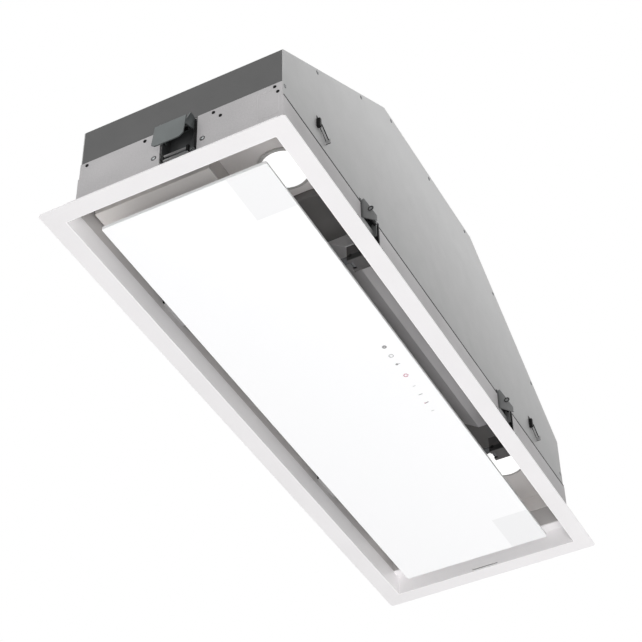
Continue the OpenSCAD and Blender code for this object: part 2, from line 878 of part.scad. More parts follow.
// Fan scroll: a wall that moves away from the impeller from the tongue round to the mouth
scroll_sweep = full_turn - tongue_angle;
function scroll_r(a) = impeller_r + scroll_gap + scroll_growth * (a - tongue_angle) / scroll_sweep;
function scroll_angle(n) = tongue_angle + scroll_sweep * n / scroll_steps;
function scroll_edge(extra) = [for (n = [0:scroll_steps])
    let (a = scroll_angle(n), r = scroll_r(a) + extra) [fan_x + r * cos(a), fan_z + r * sin(a)]];
function scroll_outline(extra) = concat(
    [[mouth_left_x - extra, scroll_top_z]], scroll_edge(extra),
    [[mouth_right_x + extra, scroll_top_z]]);

module scroll_wall() {
    color("#8b8f91") difference() {
        prism_y(scroll_outline(scroll_t), -scroll_w / 2 + scroll_t, scroll_w / 2 - scroll_t);
        prism_y(concat([[mouth_left_x, scroll_top_z + over]], scroll_outline(0),
            [[mouth_right_x, scroll_top_z + over]]), -scroll_w, scroll_w);
    }
}

// One side plate of the scroll with its round inlet, drawn for the rear
module scroll_plate() {
    difference() {
        prism_y(scroll_outline(scroll_t), scroll_w / 2 - scroll_t, scroll_w / 2);
        rod_y(fan_x, 0, scroll_w, fan_z, inlet_r + inlet_t);
    }
}

module scroll_front_plate() {
    color("#8b8f91") mirror([0, 1, 0]) scroll_plate();
}

module scroll_rear_plate() {
    color("#8b8f91") scroll_plate();
}

module inlet_rings() {
    color("#3b3b3b") both_y() translate([fan_x, scroll_w / 2, fan_z]) rotate([-quarter_turn, 0, 0])
        rotate_extrude() polygon([[inlet_r, -scroll_t], [inlet_r + inlet_t, -scroll_t],
            [inlet_r + inlet_t, 0], [inlet_r + inlet_lip, 0], [inlet_r + inlet_lip, inlet_t],
            [inlet_r + inlet_t, inlet_t], [inlet_r, inlet_t]]);
}

module motor_body() {
    color("#565a5e") difference() {
        union() {
            rod_y(fan_x, motor_y, motor_y + motor_l, fan_z, motor_r);
            rod_y(fan_x, motor_y - motor_nose, motor_y, fan_z, hub_boss_r);
            rod_y(fan_x, motor_y + motor_l, motor_y + motor_l + motor_nose, fan_z, hub_r);
        }
        rod_y(fan_x, 0, motor_y + motor_l, fan_z, shaft_r + shaft_fit);
    }
}

module motor_bracket() {
    color("#70757a") difference() {
        union() {
            rod_y(fan_x, bracket_y, bracket_y + bracket_arm_t, fan_z, motor_r + bracket_arm_w);
            for (a = mount_angles) translate([fan_x, 0, fan_z]) rotate([0, -a, 0])
                slab(0, mount_ring_r + mount_r, bracket_y, bracket_y + bracket_arm_t,
                    -bracket_arm_w / 2, bracket_arm_w / 2);
        }
        rod_y(fan_x, bracket_y - over, bracket_y + bracket_arm_t + over, fan_z, motor_r);
    }
}

module rubber_mounts() {
    color("#1c1c1c") for (a = mount_angles)
        translate([fan_x + mount_ring_r * cos(a), 0, fan_z + mount_ring_r * sin(a)])
            rod_y(0, scroll_w / 2, bracket_y, 0, mount_r);
}

module outlet_spigot() {
    color("#d4d6d7") difference() {
        union() {
            rod_z(0, 0, roof_z, roof_z + spigot_h, spigot_r);
            rod_z(0, 0, roof_z, roof_z + spigot_t, spigot_r + spigot_foot);
        }
        rod_z(0, 0, roof_z - over, flap_z - flap_stop_drop - spigot_t, spigot_bore_r);
        rod_z(0, 0, roof_z - over, roof_z + spigot_h, spigot_bore_r - flap_stop_w);
        rod_z(0, 0, flap_z - flap_stop_drop, roof_z + spigot_h + over, spigot_bore_r);
        rod_y(0, -spigot_r - over, spigot_r + over, flap_z, flap_pin_r);
    }
}

module flap_pin() {
    color("#c9ccce") rod_y(0, -spigot_r, spigot_r, flap_z, flap_pin_r);
}

// One half-round damper flap on its knuckles, drawn for the +X side
module flap(knuckle_list) {
    difference() {
        union() {
            intersection() {
                rod_z(0, 0, flap_z - flap_t / 2, flap_z + flap_t / 2, spigot_bore_r - flap_clear);
                slab(flap_start, spigot_r, -spigot_r, spigot_r, flap_z - flap_t, flap_z + flap_t);
            }
            for (y = knuckle_list) {
                rod_y(0, y, y + flap_knuckle_len, flap_z, flap_knuckle_r);
                slab(0, flap_start + over, y, y + flap_knuckle_len, flap_z - flap_t / 2,
                    flap_z + flap_t / 2);
            }
        }
        rod_y(0, -spigot_r, spigot_r, flap_z, flap_pin_r + flap_fit);
    }
}

module flap_left() {
    color("#b9bdbf") mirror([1, 0, 0]) flap([-flap_knuckle_far, flap_knuckle_near]);
}

module flap_right() {
    color("#b9bdbf") flap([-flap_knuckle_near - flap_knuckle_len,
        flap_knuckle_far - flap_knuckle_len]);
}

// One fixed clamp bracket from the height low up: a pocket behind the wall with two ears
module clamp_bracket(low) {
    difference() {
        slab(-clamp_w / 2, clamp_w / 2, -wall_in - bracket_depth, -wall_in, low, pocket_top_z);
        slab(-clamp_w / 2 + bracket_t, clamp_w / 2 - bracket_t, -wall_in - bracket_depth + bracket_t,
            over, low - over, pocket_top_z - bracket_t);
        rod_x(-clamp_w, clamp_w, -wing_axis_in, wing_axis_z, wing_pin_r);
        slab(-clamp_w / 2 + bracket_t + slot_inset, -clamp_w / 2 + bracket_t + slot_inset + slot_w,
            -wall_in - bracket_depth - over, -wall_in, low + slot_rise, slot_top_z);
    }
    for (s = [0, 1]) mirror([s, 0, 0]) {
        slab(clamp_w / 2, clamp_w / 2 + bracket_ear, -wall_in - bracket_t, -wall_in,
            bracket_ear_low_z, bracket_ear_top_z);
        slab(clamp_w / 2 - bracket_t, clamp_w / 2, -wall_in - bracket_t, -wall_in + pin_cheek_out,
            wing_axis_z - pin_cheek_r, wing_axis_z - wing_pin_r);
        difference() {
            slab(clamp_w / 2 - bracket_t, clamp_w / 2, -wall_in, -wall_in + pin_cheek_out,
                wing_axis_z - pin_cheek_r, wing_axis_z + pin_cheek_r);
            rod_x(0, clamp_w, -wing_axis_in, wing_axis_z, wing_pin_r);
        }
    }
}

module clamp_brackets() {
    color("#6d7071") for (i = clamps) clamp_at(i) clamp_bracket(clamp_low(i));
}

module clamp_hinge_pins() {
    color("#b9bcbd") for (i = clamps) clamp_at(i)
        rod_x(-clamp_w / 2, clamp_w / 2, -wing_axis_in, wing_axis_z, wing_pin_r);
}

module clamp_springs() {
    color("#8d9091") for (i = clamps) clamp_at(i) {
        difference() {
            rod_x(-spring_l / 2, spring_l / 2, -wing_axis_in, wing_axis_z, spring_r);
            rod_x(-spring_l, spring_l, -wing_axis_in, wing_axis_z, wing_pin_r + wing_pin_fit);
        }
        slab(-spring_l / 2, -spring_l / 2 + spring_leg, -wall_in - bracket_depth + bracket_t,
            -wing_axis_in - spring_r + spring_leg, wing_axis_z - spring_leg, wing_axis_z);
    }
}

module clamp_rods() {
    color("#cfd2d3") for (i = clamps) clamp_at(i) for (z = [clamp_rod_low_z, clamp_rod_high_z]) {
        rod_x(-rod_half, rod_half, -clamp_rod_in, z, clamp_rod_r);
        for (s = [-1, 1])
            rod_y(s * (rod_half - clamp_rod_r), -wall_in - bracket_depth + bracket_t, -clamp_rod_in,
                z, clamp_rod_r);
    }
}

// An end clamp's wing: a plate that leans out below, on two arms from the hinge pin
wing_top_out = wing_reach - wing_lean;
wing_top_z = wing_low_z + wing_h;
function plate_out(z) = wing_reach - wing_lean * (z - wing_low_z) / wing_h;
module end_wing() {
    color("#7b8281") difference() {
        union() {
            intersection() {
                prism_x([[wing_top_out - wing_skin, wing_top_z], [wing_top_out, wing_top_z],
                    [wing_reach, wing_low_z], [wing_reach - wing_skin, wing_low_z]],
                    -wing_w / 2, wing_w / 2);
                prism_y([[-wing_w / 2, wing_top_z + over], [-wing_w / 2, wing_low_z + wing_corner],
                    [-wing_w / 2 + wing_corner, wing_low_z], [wing_w / 2 - wing_corner, wing_low_z],
                    [wing_w / 2, wing_low_z + wing_corner], [wing_w / 2, wing_top_z + over]],
                    0, wing_reach + over);
            }
            for (s = [0, 1]) mirror([s, 0, 0])
                prism_x([[plate_out(arm_low_z) - wing_sink, arm_low_z],
                    [plate_out(arm_high_z) - wing_sink, arm_high_z], [arm_top_out, arm_top_z],
                    [arm_crown_out, arm_crown_z], [-wing_axis_in, wing_axis_z + wing_boss_r],
                    [-wing_axis_in - wing_boss_r, wing_axis_z], [-wing_axis_in - wing_boss_r, arm_low_in_z],
                    [0, arm_low_in_z]],
                    wing_w / 2 - wing_t, wing_w / 2);
        }
        rod_x(-clamp_w, clamp_w, -wing_axis_in, wing_axis_z, wing_pin_r + wing_pin_fit);
    }
}

// A side clamp's wing: one broad cheek that stands out, one small cheek and a web between them
module side_wing() {
    color("#7b8281") difference() {
        union() {
            prism_x([[side_top_out, side_top_z], [side_wing_reach, side_reach_z],
                [side_wing_reach, side_reach_low_z], [-side_in, side_in_z],
                [-wing_axis_in - wing_boss_r, side_back_z], [-wing_axis_in - wing_boss_r, wing_axis_z],
                [-wing_axis_in, wing_axis_z + wing_boss_r]],
                wing_w / 2 - wing_t, wing_w / 2);
            prism_x([[-side_in, web_low_z], [-side_in, wing_axis_z + wing_boss_r],
                [-wing_axis_in, wing_axis_z + wing_boss_r], [-wing_axis_in - wing_boss_r, wing_axis_z],
                [-wing_axis_in - wing_boss_r, web_low_z]],
                -wing_w / 2, -wing_w / 2 + wing_t);
            slab(-wing_w / 2, wing_w / 2, -wing_axis_in - wing_boss_r,
                -wing_axis_in - wing_boss_r + wing_t, side_back_z, web_top_z);
            rod_x(wing_w / 2, wing_w / 2 + wing_head_h, wing_head_out, wing_head_z, wing_head_r);
        }
        rod_x(-clamp_w, clamp_w, -wing_axis_in, wing_axis_z, wing_pin_r + wing_pin_fit);
    }
}

module clamp_wing_1() {
    clamp_at(1) end_wing();
}
module clamp_wing_2() {
    clamp_at(2) end_wing();
}
module clamp_wing_3() {
    clamp_at(3) side_wing();
}
module clamp_wing_4() {
    clamp_at(4) side_wing();
}
module clamp_wing_5() {
    clamp_at(5) side_wing();
}
module clamp_wing_6() {
    clamp_at(6) side_wing();
}

module hinge_blocks() {
    color("#1b1b1b") both_x() translate([hinge_x, 0, 0]) difference() {
        slab(-block_w / 2, block_w / 2, block_back_y, block_front_y, block_low_z, block_top_z);
        slab(-block_slot_w / 2, block_slot_w / 2, hinge_axis_y - block_slot_r, block_front_y + over,
            block_cap_z, block_top_z + over);
        slab(-block_slot_w / 2, block_slot_w / 2, hinge_axis_y - block_cap_gap, block_front_y + over,
            block_low_z - over, block_top_z + over);
        rod_x(-block_w, block_w, hinge_axis_y, hinge_axis_z, hinge_pin_r);
    }
}

module hinge_pins() {
    color("#c2c4c5") both_x()
        rod_x(hinge_x - block_w / 2, hinge_x + block_w / 2, hinge_axis_y, hinge_axis_z, hinge_pin_r);
}

module catch_brackets() {
    color("#9d9fa0") both_x() translate([catch_x, 0, 0]) {
        slab(-catch_w / 2, catch_w / 2, catch_y - catch_w / 2, catch_leg_y, box_z - catch_t, box_z);
        slab(-catch_w / 2, catch_w / 2, catch_leg_y - catch_t, catch_leg_y, catch_shelf_z, box_z);
        slab(-catch_w / 2, catch_w / 2, catch_y - catch_w / 2, catch_leg_y, catch_shelf_z,
            catch_shelf_z + catch_t);
    }
}

module catch_magnets() {
    color("#c7c9ca") both_x()
        rod_z(catch_x, catch_y, catch_shelf_z - magnet_h, catch_shelf_z, magnet_r);
}

module body_rivets() {
    color("#9b9d9e") {
        both_y() both_x() for (p = rivet_places)
            rod_y(p[0], side_y, side_y + rivet_head_h, p[1], rivet_r);
        both_y() rod_y(0, side_y, side_y + rivet_head_h, roof_z - rivet_roof_in, rivet_r);
        for (i = clamps) clamp_at(i) for (s = [-1, 1])
            rod_y(s * bracket_rivet_u, 0, rivet_head_h, bracket_rivet_z, bracket_rivet_r);
    }
}

module body_screws() {
    color("#171717") {
        both_x() for (y = [-screw_y_wide, -screw_y_narrow, screw_y_narrow, screw_y_wide])
            rod_x(skirt_x, skirt_x + screw_head_h, y, screw_z, screw_head_r);
        for (i = clamps) clamp_at(i)
            rod_y(0, -wall_in - bracket_depth + bracket_t, -wall_in - bracket_depth + bracket_t
                + screw_head_h, back_screw_z, screw_head_r);
    }
}

module glass_panel() {
    color("#fbfbfd") round_plate(-glass_l / 2, glass_l / 2, -glass_w / 2, glass_w / 2, 0, glass_t,
        glass_r);
}

// The carrier's outline, set in by i, without the two front corners behind the glass windows
function carrier_outline(i) = [
    [-carrier_l / 2 + i, notch_front_y + i], [-carrier_l / 2 + window_x + i, notch_front_y + i],
    [-carrier_l / 2 + window_x + i, -carrier_w / 2 + i],
    [carrier_l / 2 - window_x - i, -carrier_w / 2 + i],
    [carrier_l / 2 - window_x - i, notch_front_y + i], [carrier_l / 2 - i, notch_front_y + i],
    [carrier_l / 2 - i, carrier_w / 2 - i], [-carrier_l / 2 + i, carrier_w / 2 - i]];

module panel_carrier() {
    color("#b3b5b6") difference() {
        translate([0, 0, glass_t]) linear_extrude(carrier_h) polygon(carrier_outline(0));
        translate([0, 0, glass_t + sheet]) linear_extrude(carrier_h - 2 * sheet)
            polygon(carrier_outline(sheet));
        translate([0, 0, glass_t + sheet]) linear_extrude(carrier_h)
            polygon(carrier_outline(carrier_lip));
        slab(touch_x - touch_l / 2, touch_x + touch_l / 2, touch_y - touch_slot / 2,
            touch_y + touch_slot / 2, glass_t - over, glass_t + sheet + over);
    }
}

module touch_board() {
    color("#2f6b3f") {
        slab(touch_x - touch_l / 2 - touch_edge, touch_x + touch_l / 2 + touch_edge,
            touch_y - touch_w / 2, touch_y + touch_w / 2, glass_t + sheet, glass_t + sheet + board_t);
        for (k = touch_key_shares)
            rod_z(touch_x + k * touch_l, touch_y, glass_t, glass_t + sheet, touch_pad_r);
        slab(touch_x + touch_chip, touch_x + touch_chip * 2, touch_y - touch_slot / 2,
            touch_y + touch_slot / 2, glass_t + sheet + board_t, glass_t + sheet + 2 * board_t);
    }
}

module hinge_arms() {
    color("#3c3e40") both_x() translate([hinge_x, 0, 0]) difference() {
        union() {
            rod_x(-knuckle_w / 2, knuckle_w / 2, hinge_axis_y, hinge_axis_z, knuckle_r);
            slab(-knuckle_w / 2, knuckle_w / 2, hinge_axis_y, arm_foot_y, carrier_top_z,
                carrier_top_z + arm_t);
            slab(-knuckle_w / 2, knuckle_w / 2, hinge_axis_y, hinge_axis_y + knuckle_r,
                hinge_axis_z, carrier_top_z + arm_t);
            slab(-arm_foot_w / 2, arm_foot_w / 2, arm_foot_front_y, arm_foot_y, carrier_top_z,
                carrier_top_z + arm_t);
        }
        rod_x(-block_w, block_w, hinge_axis_y, hinge_axis_z, hinge_pin_r + hinge_fit);
    }
}

module strikers() {
    color("#a9abac") both_x() slab(catch_x - striker_w / 2, catch_x + striker_w / 2,
        catch_y - striker_d / 2, catch_y + striker_d / 2, carrier_top_z, carrier_top_z + striker_t);
}

// One grease filter's frame, drawn in the middle, with two hinge pegs at its rear corners
module filter_frame() {
    difference() {
        slab(-filter_l / 2, filter_l / 2, filter_front_y, filter_back_y, box_z, box_z + filter_t);
        slab(-filter_l / 2 + filter_wall, filter_l / 2 - filter_wall, filter_front_y + filter_wall,
            filter_back_y - filter_wall, box_z + filter_wall, box_z + filter_t - filter_wall);
        slab(-filter_l / 2 + filter_rim, filter_l / 2 - filter_rim, filter_front_y + filter_rim,
            filter_back_y - filter_rim, box_z - over, box_z + filter_t + over);
        slab(-latch_w / 2 - latch_fit, latch_w / 2 + latch_fit, filter_front_y - over,
            filter_front_y + filter_rim + over, box_z - over, box_z + filter_t + over);
    }
    for (s = [-1, 1]) translate([s * (filter_l / 2 - filter_wall), 0, 0])
        rod_x(min(0, s * peg_reach), max(0, s * peg_reach), filter_axis_y, filter_axis_z, peg_r);
    for (s = [-1, 1])
        translate([s * (latch_w / 2 + latch_fit + filter_wall / 2), 0, 0])
            slab(-filter_wall / 2, filter_wall / 2, filter_front_y, filter_front_y + filter_rim,
                box_z, box_z + filter_t);
}

module filter_frame_left() {
    color("#aeb1b2") translate([-filter_mid_x, 0, 0]) filter_frame();
}

module filter_frame_right() {
    color("#aeb1b2") translate([filter_mid_x, 0, 0]) filter_frame();
}

// The layered mesh inside a filter frame, with its latch pocket left free
module filter_core() {
    difference() {
        slab(-filter_l / 2 + filter_wall, filter_l / 2 - filter_wall, filter_front_y + filter_wall,
            filter_back_y - filter_wall, box_z + filter_wall, box_z + filter_t - filter_wall);
        slab(-latch_w / 2 - 2 * filter_wall, latch_w / 2 + 2 * filter_wall, filter_front_y - over,
            filter_front_y + filter_rim + latch_travel + over, box_z - over, box_z + filter_t + over);
        for (s = [-1, 1])
            rod_x(s * filter_l / 2 - filter_rim, s * filter_l / 2 + filter_rim, filter_axis_y,
                filter_axis_z, peg_r + peg_fit);
    }
}

module filter_core_left() {
    color("#c3c6c8") translate([-filter_mid_x, 0, 0]) filter_core();
}

module filter_core_right() {
    color("#c3c6c8") translate([filter_mid_x, 0, 0]) filter_core();
}

// The sliding latch at the front of a filter
module filter_latch() {
    slab(-latch_w / 2, latch_w / 2, filter_front_y, filter_front_y + latch_len,
        box_z + latch_low, box_z + latch_low + latch_h);
    slab(-latch_w / 2, latch_w / 2, filter_front_y - latch_nose, filter_front_y,
        box_z + latch_low, box_z + latch_low + latch_nose_h);
    slab(-latch_w / 2, latch_w / 2, filter_front_y + latch_grip_in,
        filter_front_y + latch_grip_in + latch_grip_t, box_z - latch_grip_h, box_z + latch_low);
}

module filter_latch_left() {
    color("#2a2a2a") translate([-filter_mid_x, 0, 0]) filter_latch();
}

module filter_latch_right() {
    color("#2a2a2a") translate([filter_mid_x, 0, 0]) filter_latch();
}

// Double-inlet impeller about its own axis along Z
module impeller_shape() {
    difference() {
        union() {
            rod_z(0, 0, -hub_t / 2, hub_t / 2, impeller_r);
            rod_z(0, 0, -hub_boss_l / 2, hub_boss_l / 2, hub_boss_r);
        }
        rod_z(0, 0, -impeller_w, impeller_w, shaft_r);
    }
    for (s = [0, 1]) mirror([0, 0, s]) {
        difference() {
            rod_z(0, 0, impeller_w / 2 - impeller_ring_h, impeller_w / 2, impeller_r);
            rod_z(0, 0, 0, impeller_w, impeller_r - impeller_ring_w);
        }
        for (n = [0:blade_count - 1]) rotate([0, 0, n * full_turn / blade_count])
            translate([impeller_r - blade_depth / 2, 0, 0]) rotate([0, 0, blade_lean])
                slab(-blade_half, blade_half, -blade_t / 2, blade_t / 2, hub_t / 2 / 2,
                    (impeller_w - impeller_ring_h) / 2);
    }
}

module impeller() {
    color("#2e3133") translate([fan_x, 0, fan_z]) rotate([quarter_turn, 0, 0]) impeller_shape();
}

module motor_shaft() {
    color("#d0d2d3") rod_y(fan_x, -hub_boss_l, motor_y + motor_l, fan_z, shaft_r);
}

flange_frame();
flange_gasket();
lower_skirt();
front_side_panel();
rear_side_panel();
roof_wrap();
tray();
suction_box();
control_cover();
control_housing();
housing_lid();
power_board();
terminal_block();
cable_gland();
lamp_bezels();
lamp_lenses();
lamp_modules();
scroll_wall();
scroll_front_plate();
scroll_rear_plate();
inlet_rings();
motor_body();
motor_bracket();
rubber_mounts();
outlet_spigot();
flap_pin();
clamp_brackets();
clamp_hinge_pins();
clamp_springs();
clamp_rods();
hinge_blocks();
hinge_pins();
catch_brackets();
catch_magnets();
body_rivets();
body_screws();
glass_panel();
panel_carrier();
touch_board();
hinge_arms();
strikers();
filter_frame_left();
filter_frame_right();
filter_core_left();
filter_core_right();
filter_latch_left();
filter_latch_right();
impeller();
motor_shaft();
flap_left();
flap_right();
clamp_wing_1();
clamp_wing_2();
clamp_wing_3();
clamp_wing_4();
clamp_wing_5();
clamp_wing_6();
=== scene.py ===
# %% [markdown]
# A range hood insert, seen from below as it hangs in its cabinet. The fixed frame comes from the
# solid model, in metres, with +Z up and the touch controls on the -Y side. This script gives every
# sheet, pane and plastic piece its finish and its small detail, and sets the camera and the light.

# %% Load the frame
import json
import math

import bmesh
import bpy
from mathutils import Matrix, Vector


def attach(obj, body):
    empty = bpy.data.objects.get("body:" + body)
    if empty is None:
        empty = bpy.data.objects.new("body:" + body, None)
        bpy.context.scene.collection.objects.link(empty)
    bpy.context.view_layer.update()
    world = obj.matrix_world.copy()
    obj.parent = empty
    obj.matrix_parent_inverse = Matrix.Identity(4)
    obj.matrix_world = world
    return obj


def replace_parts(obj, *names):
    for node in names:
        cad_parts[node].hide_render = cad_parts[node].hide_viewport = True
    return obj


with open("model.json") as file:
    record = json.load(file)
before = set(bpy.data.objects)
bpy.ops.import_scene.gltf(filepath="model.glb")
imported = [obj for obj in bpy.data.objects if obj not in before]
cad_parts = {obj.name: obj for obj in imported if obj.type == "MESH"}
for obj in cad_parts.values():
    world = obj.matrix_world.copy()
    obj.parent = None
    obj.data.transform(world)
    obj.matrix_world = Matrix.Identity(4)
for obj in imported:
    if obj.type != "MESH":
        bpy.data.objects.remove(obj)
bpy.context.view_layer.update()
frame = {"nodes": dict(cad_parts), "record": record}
nodes = frame["nodes"]
MM = 0.001

# %% [markdown]
# The camera stands low and in front of the hood's left end and looks up, as in the photograph.
# Its place and turn were solved from the flange's corners, so it is written as three directions:
# right, down and ahead. Blender's camera looks along -Z with +Y up, so two of them are turned
# round. A long lens keeps the flange's edges nearly parallel.

# %% Camera
PHOTO_PX = 642
FOCAL_PX = 1795.19
SENSOR_MM = 36.0
camera_data = bpy.data.cameras.new("camera")
camera_data.sensor_width = SENSOR_MM
camera_data.lens = FOCAL_PX / PHOTO_PX * SENSOR_MM
camera_data.clip_end = 50.0
camera_data.dof.use_dof = False
camera = bpy.data.objects.new("camera", camera_data)
bpy.context.scene.collection.objects.link(camera)
right = Vector((0.46696194, -0.88416434, -0.01414067))
down = Vector((0.58997181, 0.32341943, -0.73981966))
ahead = Vector((0.65869554, 0.33712503, 0.6726566))
stand = Vector((-1.29822, -0.63620, -1.20353))
rows = [(right[i], -down[i], -ahead[i], stand[i]) for i in range(3)]
camera.matrix_world = Matrix(rows + [(0.0, 0.0, 0.0, 1.0)])
bpy.context.scene.camera = camera
print("lens", round(camera_data.lens, 2), "mm")

# %% [markdown]
# Colours are written as they look on a screen, and Blender wants linear light, so one function
# turns a hex colour into linear numbers. One more helper adds a node of any kind, sets its sockets
# by name or by place, and links a socket where it is given a socket or another node.

# %% Colour and node helpers
PRODUCT = {"operation": "MULTIPLY"}
PRODUCT_SUM = {"operation": "MULTIPLY_ADD"}
MIX_COLOURS = {"data_type": "RGBA"}
SKIP = (None,) * 5  # a Mix node's sockets for numbers and vectors, between its factor and colours


def linear(code):
    """A hex colour as linear light with full alpha."""
    out = []
    for i in (0, 2, 4):
        v = int(code.lstrip("#")[i:i + 2], 16) / 255
        out.append(v / 12.92 if v <= 0.04045 else ((v + 0.055) / 1.055) ** 2.4)
    return (*out, 1.0)


def add(tree, kind, settings=None, values=(), **named):
    """A new node; values fill its inputs in order, and named ones by the input's name."""
    made = tree.nodes.new(kind)
    for key, value in (settings or {}).items():
        setattr(made, key, value)
    pairs = [(made.inputs[i], v) for i, v in enumerate(values) if v is not None]
    pairs += [(made.inputs[key.replace("_", " ")], v) for key, v in named.items()]
    for socket, value in pairs:
        if isinstance(value, bpy.types.Node):
            value = value.outputs[0]
        if isinstance(value, bpy.types.NodeSocket):
            tree.links.new(value, socket)
        else:
            socket.default_value = value
    return made


print("mid grey in linear light", round(linear("#808080")[0], 3))

# %% [markdown]
# Every finish reads the piece's own coordinates, in millimetres, so each pattern can be given its
# real size. Three patterns come back in most finishes: a grain of noise, a tone that runs between
# two colours, and a relief that the light catches.

# %% Patterns of the finishes
def place_in_mm(tree):
    """Where a point lies on its piece, in millimetres."""
    place = add(tree, "ShaderNodeTexCoord").outputs["Object"]
    return add(tree, "ShaderNodeVectorMath", {"operation": "SCALE"}, (place,), Scale=1.0 / MM).outputs[0]


def finish(name, roughness=0.5, metallic=0.0, **sockets):
    """A new material: returns it, its tree, its shader and the place in millimetres."""
    material = bpy.data.materials.new(name)
    material.use_nodes = True
    tree = material.node_tree
    shader = tree.nodes["Principled BSDF"]
    shader.inputs["Roughness"].default_value = roughness
    shader.inputs["Metallic"].default_value = metallic
    for key, value in sockets.items():
        shader.inputs[key.replace("_", " ")].default_value = value
    return material, tree, shader, place_in_mm(tree)


def grain(tree, place, size, detail=3.0, stretch=(1, 1, 1)):
    """Noise whose spots are about size millimetres wide, drawn out along an axis by stretch."""
    if stretch != (1, 1, 1):
        place = add(tree, "ShaderNodeVectorMath", {"operation": "DIVIDE"}, (place, stretch)).outputs[0]
    return add(tree, "ShaderNodeTexNoise", Vector=place, Scale=1.0 / size, Detail=detail).outputs["Fac"]


def tone(tree, factor, dark, light, low=0.35, high=0.65):
    """A colour between two hex codes, as the factor goes from low to high."""
    ramp = add(tree, "ShaderNodeValToRGB", values=(factor,))
    for element, position, code in zip(ramp.color_ramp.elements, (low, high), (dark, light)):
        element.position, element.color = position, linear(code)
    return ramp.outputs[0]


def relief(tree, shader, height, depth):
    """Bump from a height between 0 and 1 that stands for depth millimetres."""
    bump = add(tree, "ShaderNodeBump", Height=height, Distance=depth * MM, Strength=1.0)
    tree.links.new(bump.outputs[0], shader.inputs["Normal"])


print("patterns ready, sizes in mm")

# %% [markdown]
# Powder coat is sprayed on and baked, so it is never quite flat: it has a faint orange peel about
# a millimetre wide, and its colour drifts a little over a hand's width. The skirt has the sandy
# kind, whose grit is drawn at 1.4 mm, coarser than the real one, so that it shows from a distance.

# %% Painted sheets
DRIFT_MM, WIPE_MM = 90.0, 35.0  # the drift of colour, and the patches of rubbed shine


def painted(name, dark, light, roughness, grain_mm, depth, coat=0.0, speck=0.0, shine=0.5):
    """Powder coat: a drift of colour, relief of one grain size, and a speckle where speck is set."""
    material, tree, shader, place = finish(
        name, roughness, Coat_Weight=coat, Coat_Roughness=0.2, Specular_IOR_Level=shine)
    peel = grain(tree, place, grain_mm)
    drift = grain(tree, place, DRIFT_MM, 2.0)
    drift = add(tree, "ShaderNodeMath", PRODUCT_SUM, (peel, speck, drift))
    colour = tone(tree, drift, dark, light, 0.35 + speck / 2, 0.65 + speck / 2)
    tree.links.new(colour, shader.inputs["Base Color"])
    relief(tree, shader, peel, depth)
    wiped = grain(tree, place, WIPE_MM)
    rub = add(tree, "ShaderNodeMapRange", values=(wiped, 0.3, 0.7, roughness - 0.05, roughness + 0.05))
    tree.links.new(rub.outputs[0], shader.inputs["Roughness"])
    return material


PAINTED = {
    # The flange is a semi-gloss coat: near white, with a soft sheen from the clear resin on top
    "flange_white": dict(dark="#e9e7e8", light="#eceaeb", roughness=0.42, grain_mm=1.1, depth=0.012, coat=0.15),
    # The skirt's sandy coat scatters light, so it stays matt and a little speckled
    "skirt_grey": dict(dark="#a5a3a4", light="#b3b1b2", roughness=0.6, grain_mm=1.4, depth=0.05, speck=0.6),
    # The wrap is a satin charcoal coat: one deep, even tone
    "wrap_dark": dict(dark="#3b3b3b", light="#3f3f3f", roughness=0.45, grain_mm=0.9, depth=0.015),
    # The tray and the suction box are pale satin coats, which pass the lamps' light on inside
    "tray_grey": dict(dark="#e6e2e0", light="#ebe7e5", roughness=0.5, grain_mm=0.9, depth=0.015),
    "box_steel": dict(dark="#f0ece9", light="#f5f1ee", roughness=0.5, grain_mm=0.9, depth=0.015),
    # The cover and the lamps' bezels are the same coat in a middle grey
    "cover_grey": dict(dark="#b6b4b5", light="#bebcbd", roughness=0.45, grain_mm=0.9, depth=0.012),
    "bezel_grey": dict(dark="#b4b2b0", light="#bcbab8", roughness=0.4, grain_mm=0.9, depth=0.01),
    # The motor is enamelled, the screws are black oxide, which barely shines, and the arms satin
    "motor_steel": dict(dark="#52565a", light="#5a5e62", roughness=0.45, grain_mm=0.8, depth=0.02),
    "screw_black": dict(dark="#0c0c0c", light="#131313", roughness=0.5, grain_mm=0.5, depth=0.01, shine=0.15),
    "arm_dark": dict(dark="#505153", light="#58595b", roughness=0.45, grain_mm=0.8, depth=0.012),
}
finishes = {name: painted(name, **look) for name, look in PAINTED.items()}
print("painted finishes", len(finishes))

# %% [markdown]
# Galvanised and plated sheets show the mill's fine lines along the sheet, a soft cloudiness, and
# zinc crystals about 14 mm across. They are metal, but a dull one, so most of it goes into
# roughness and relief. The long panels also carry a painted shade, darker towards their folded
# lower edge.

# %% Bare and plated metal
MILL_MM, CLOUD_MM, CRYSTAL_MM = 0.7, 28.0, 14.0


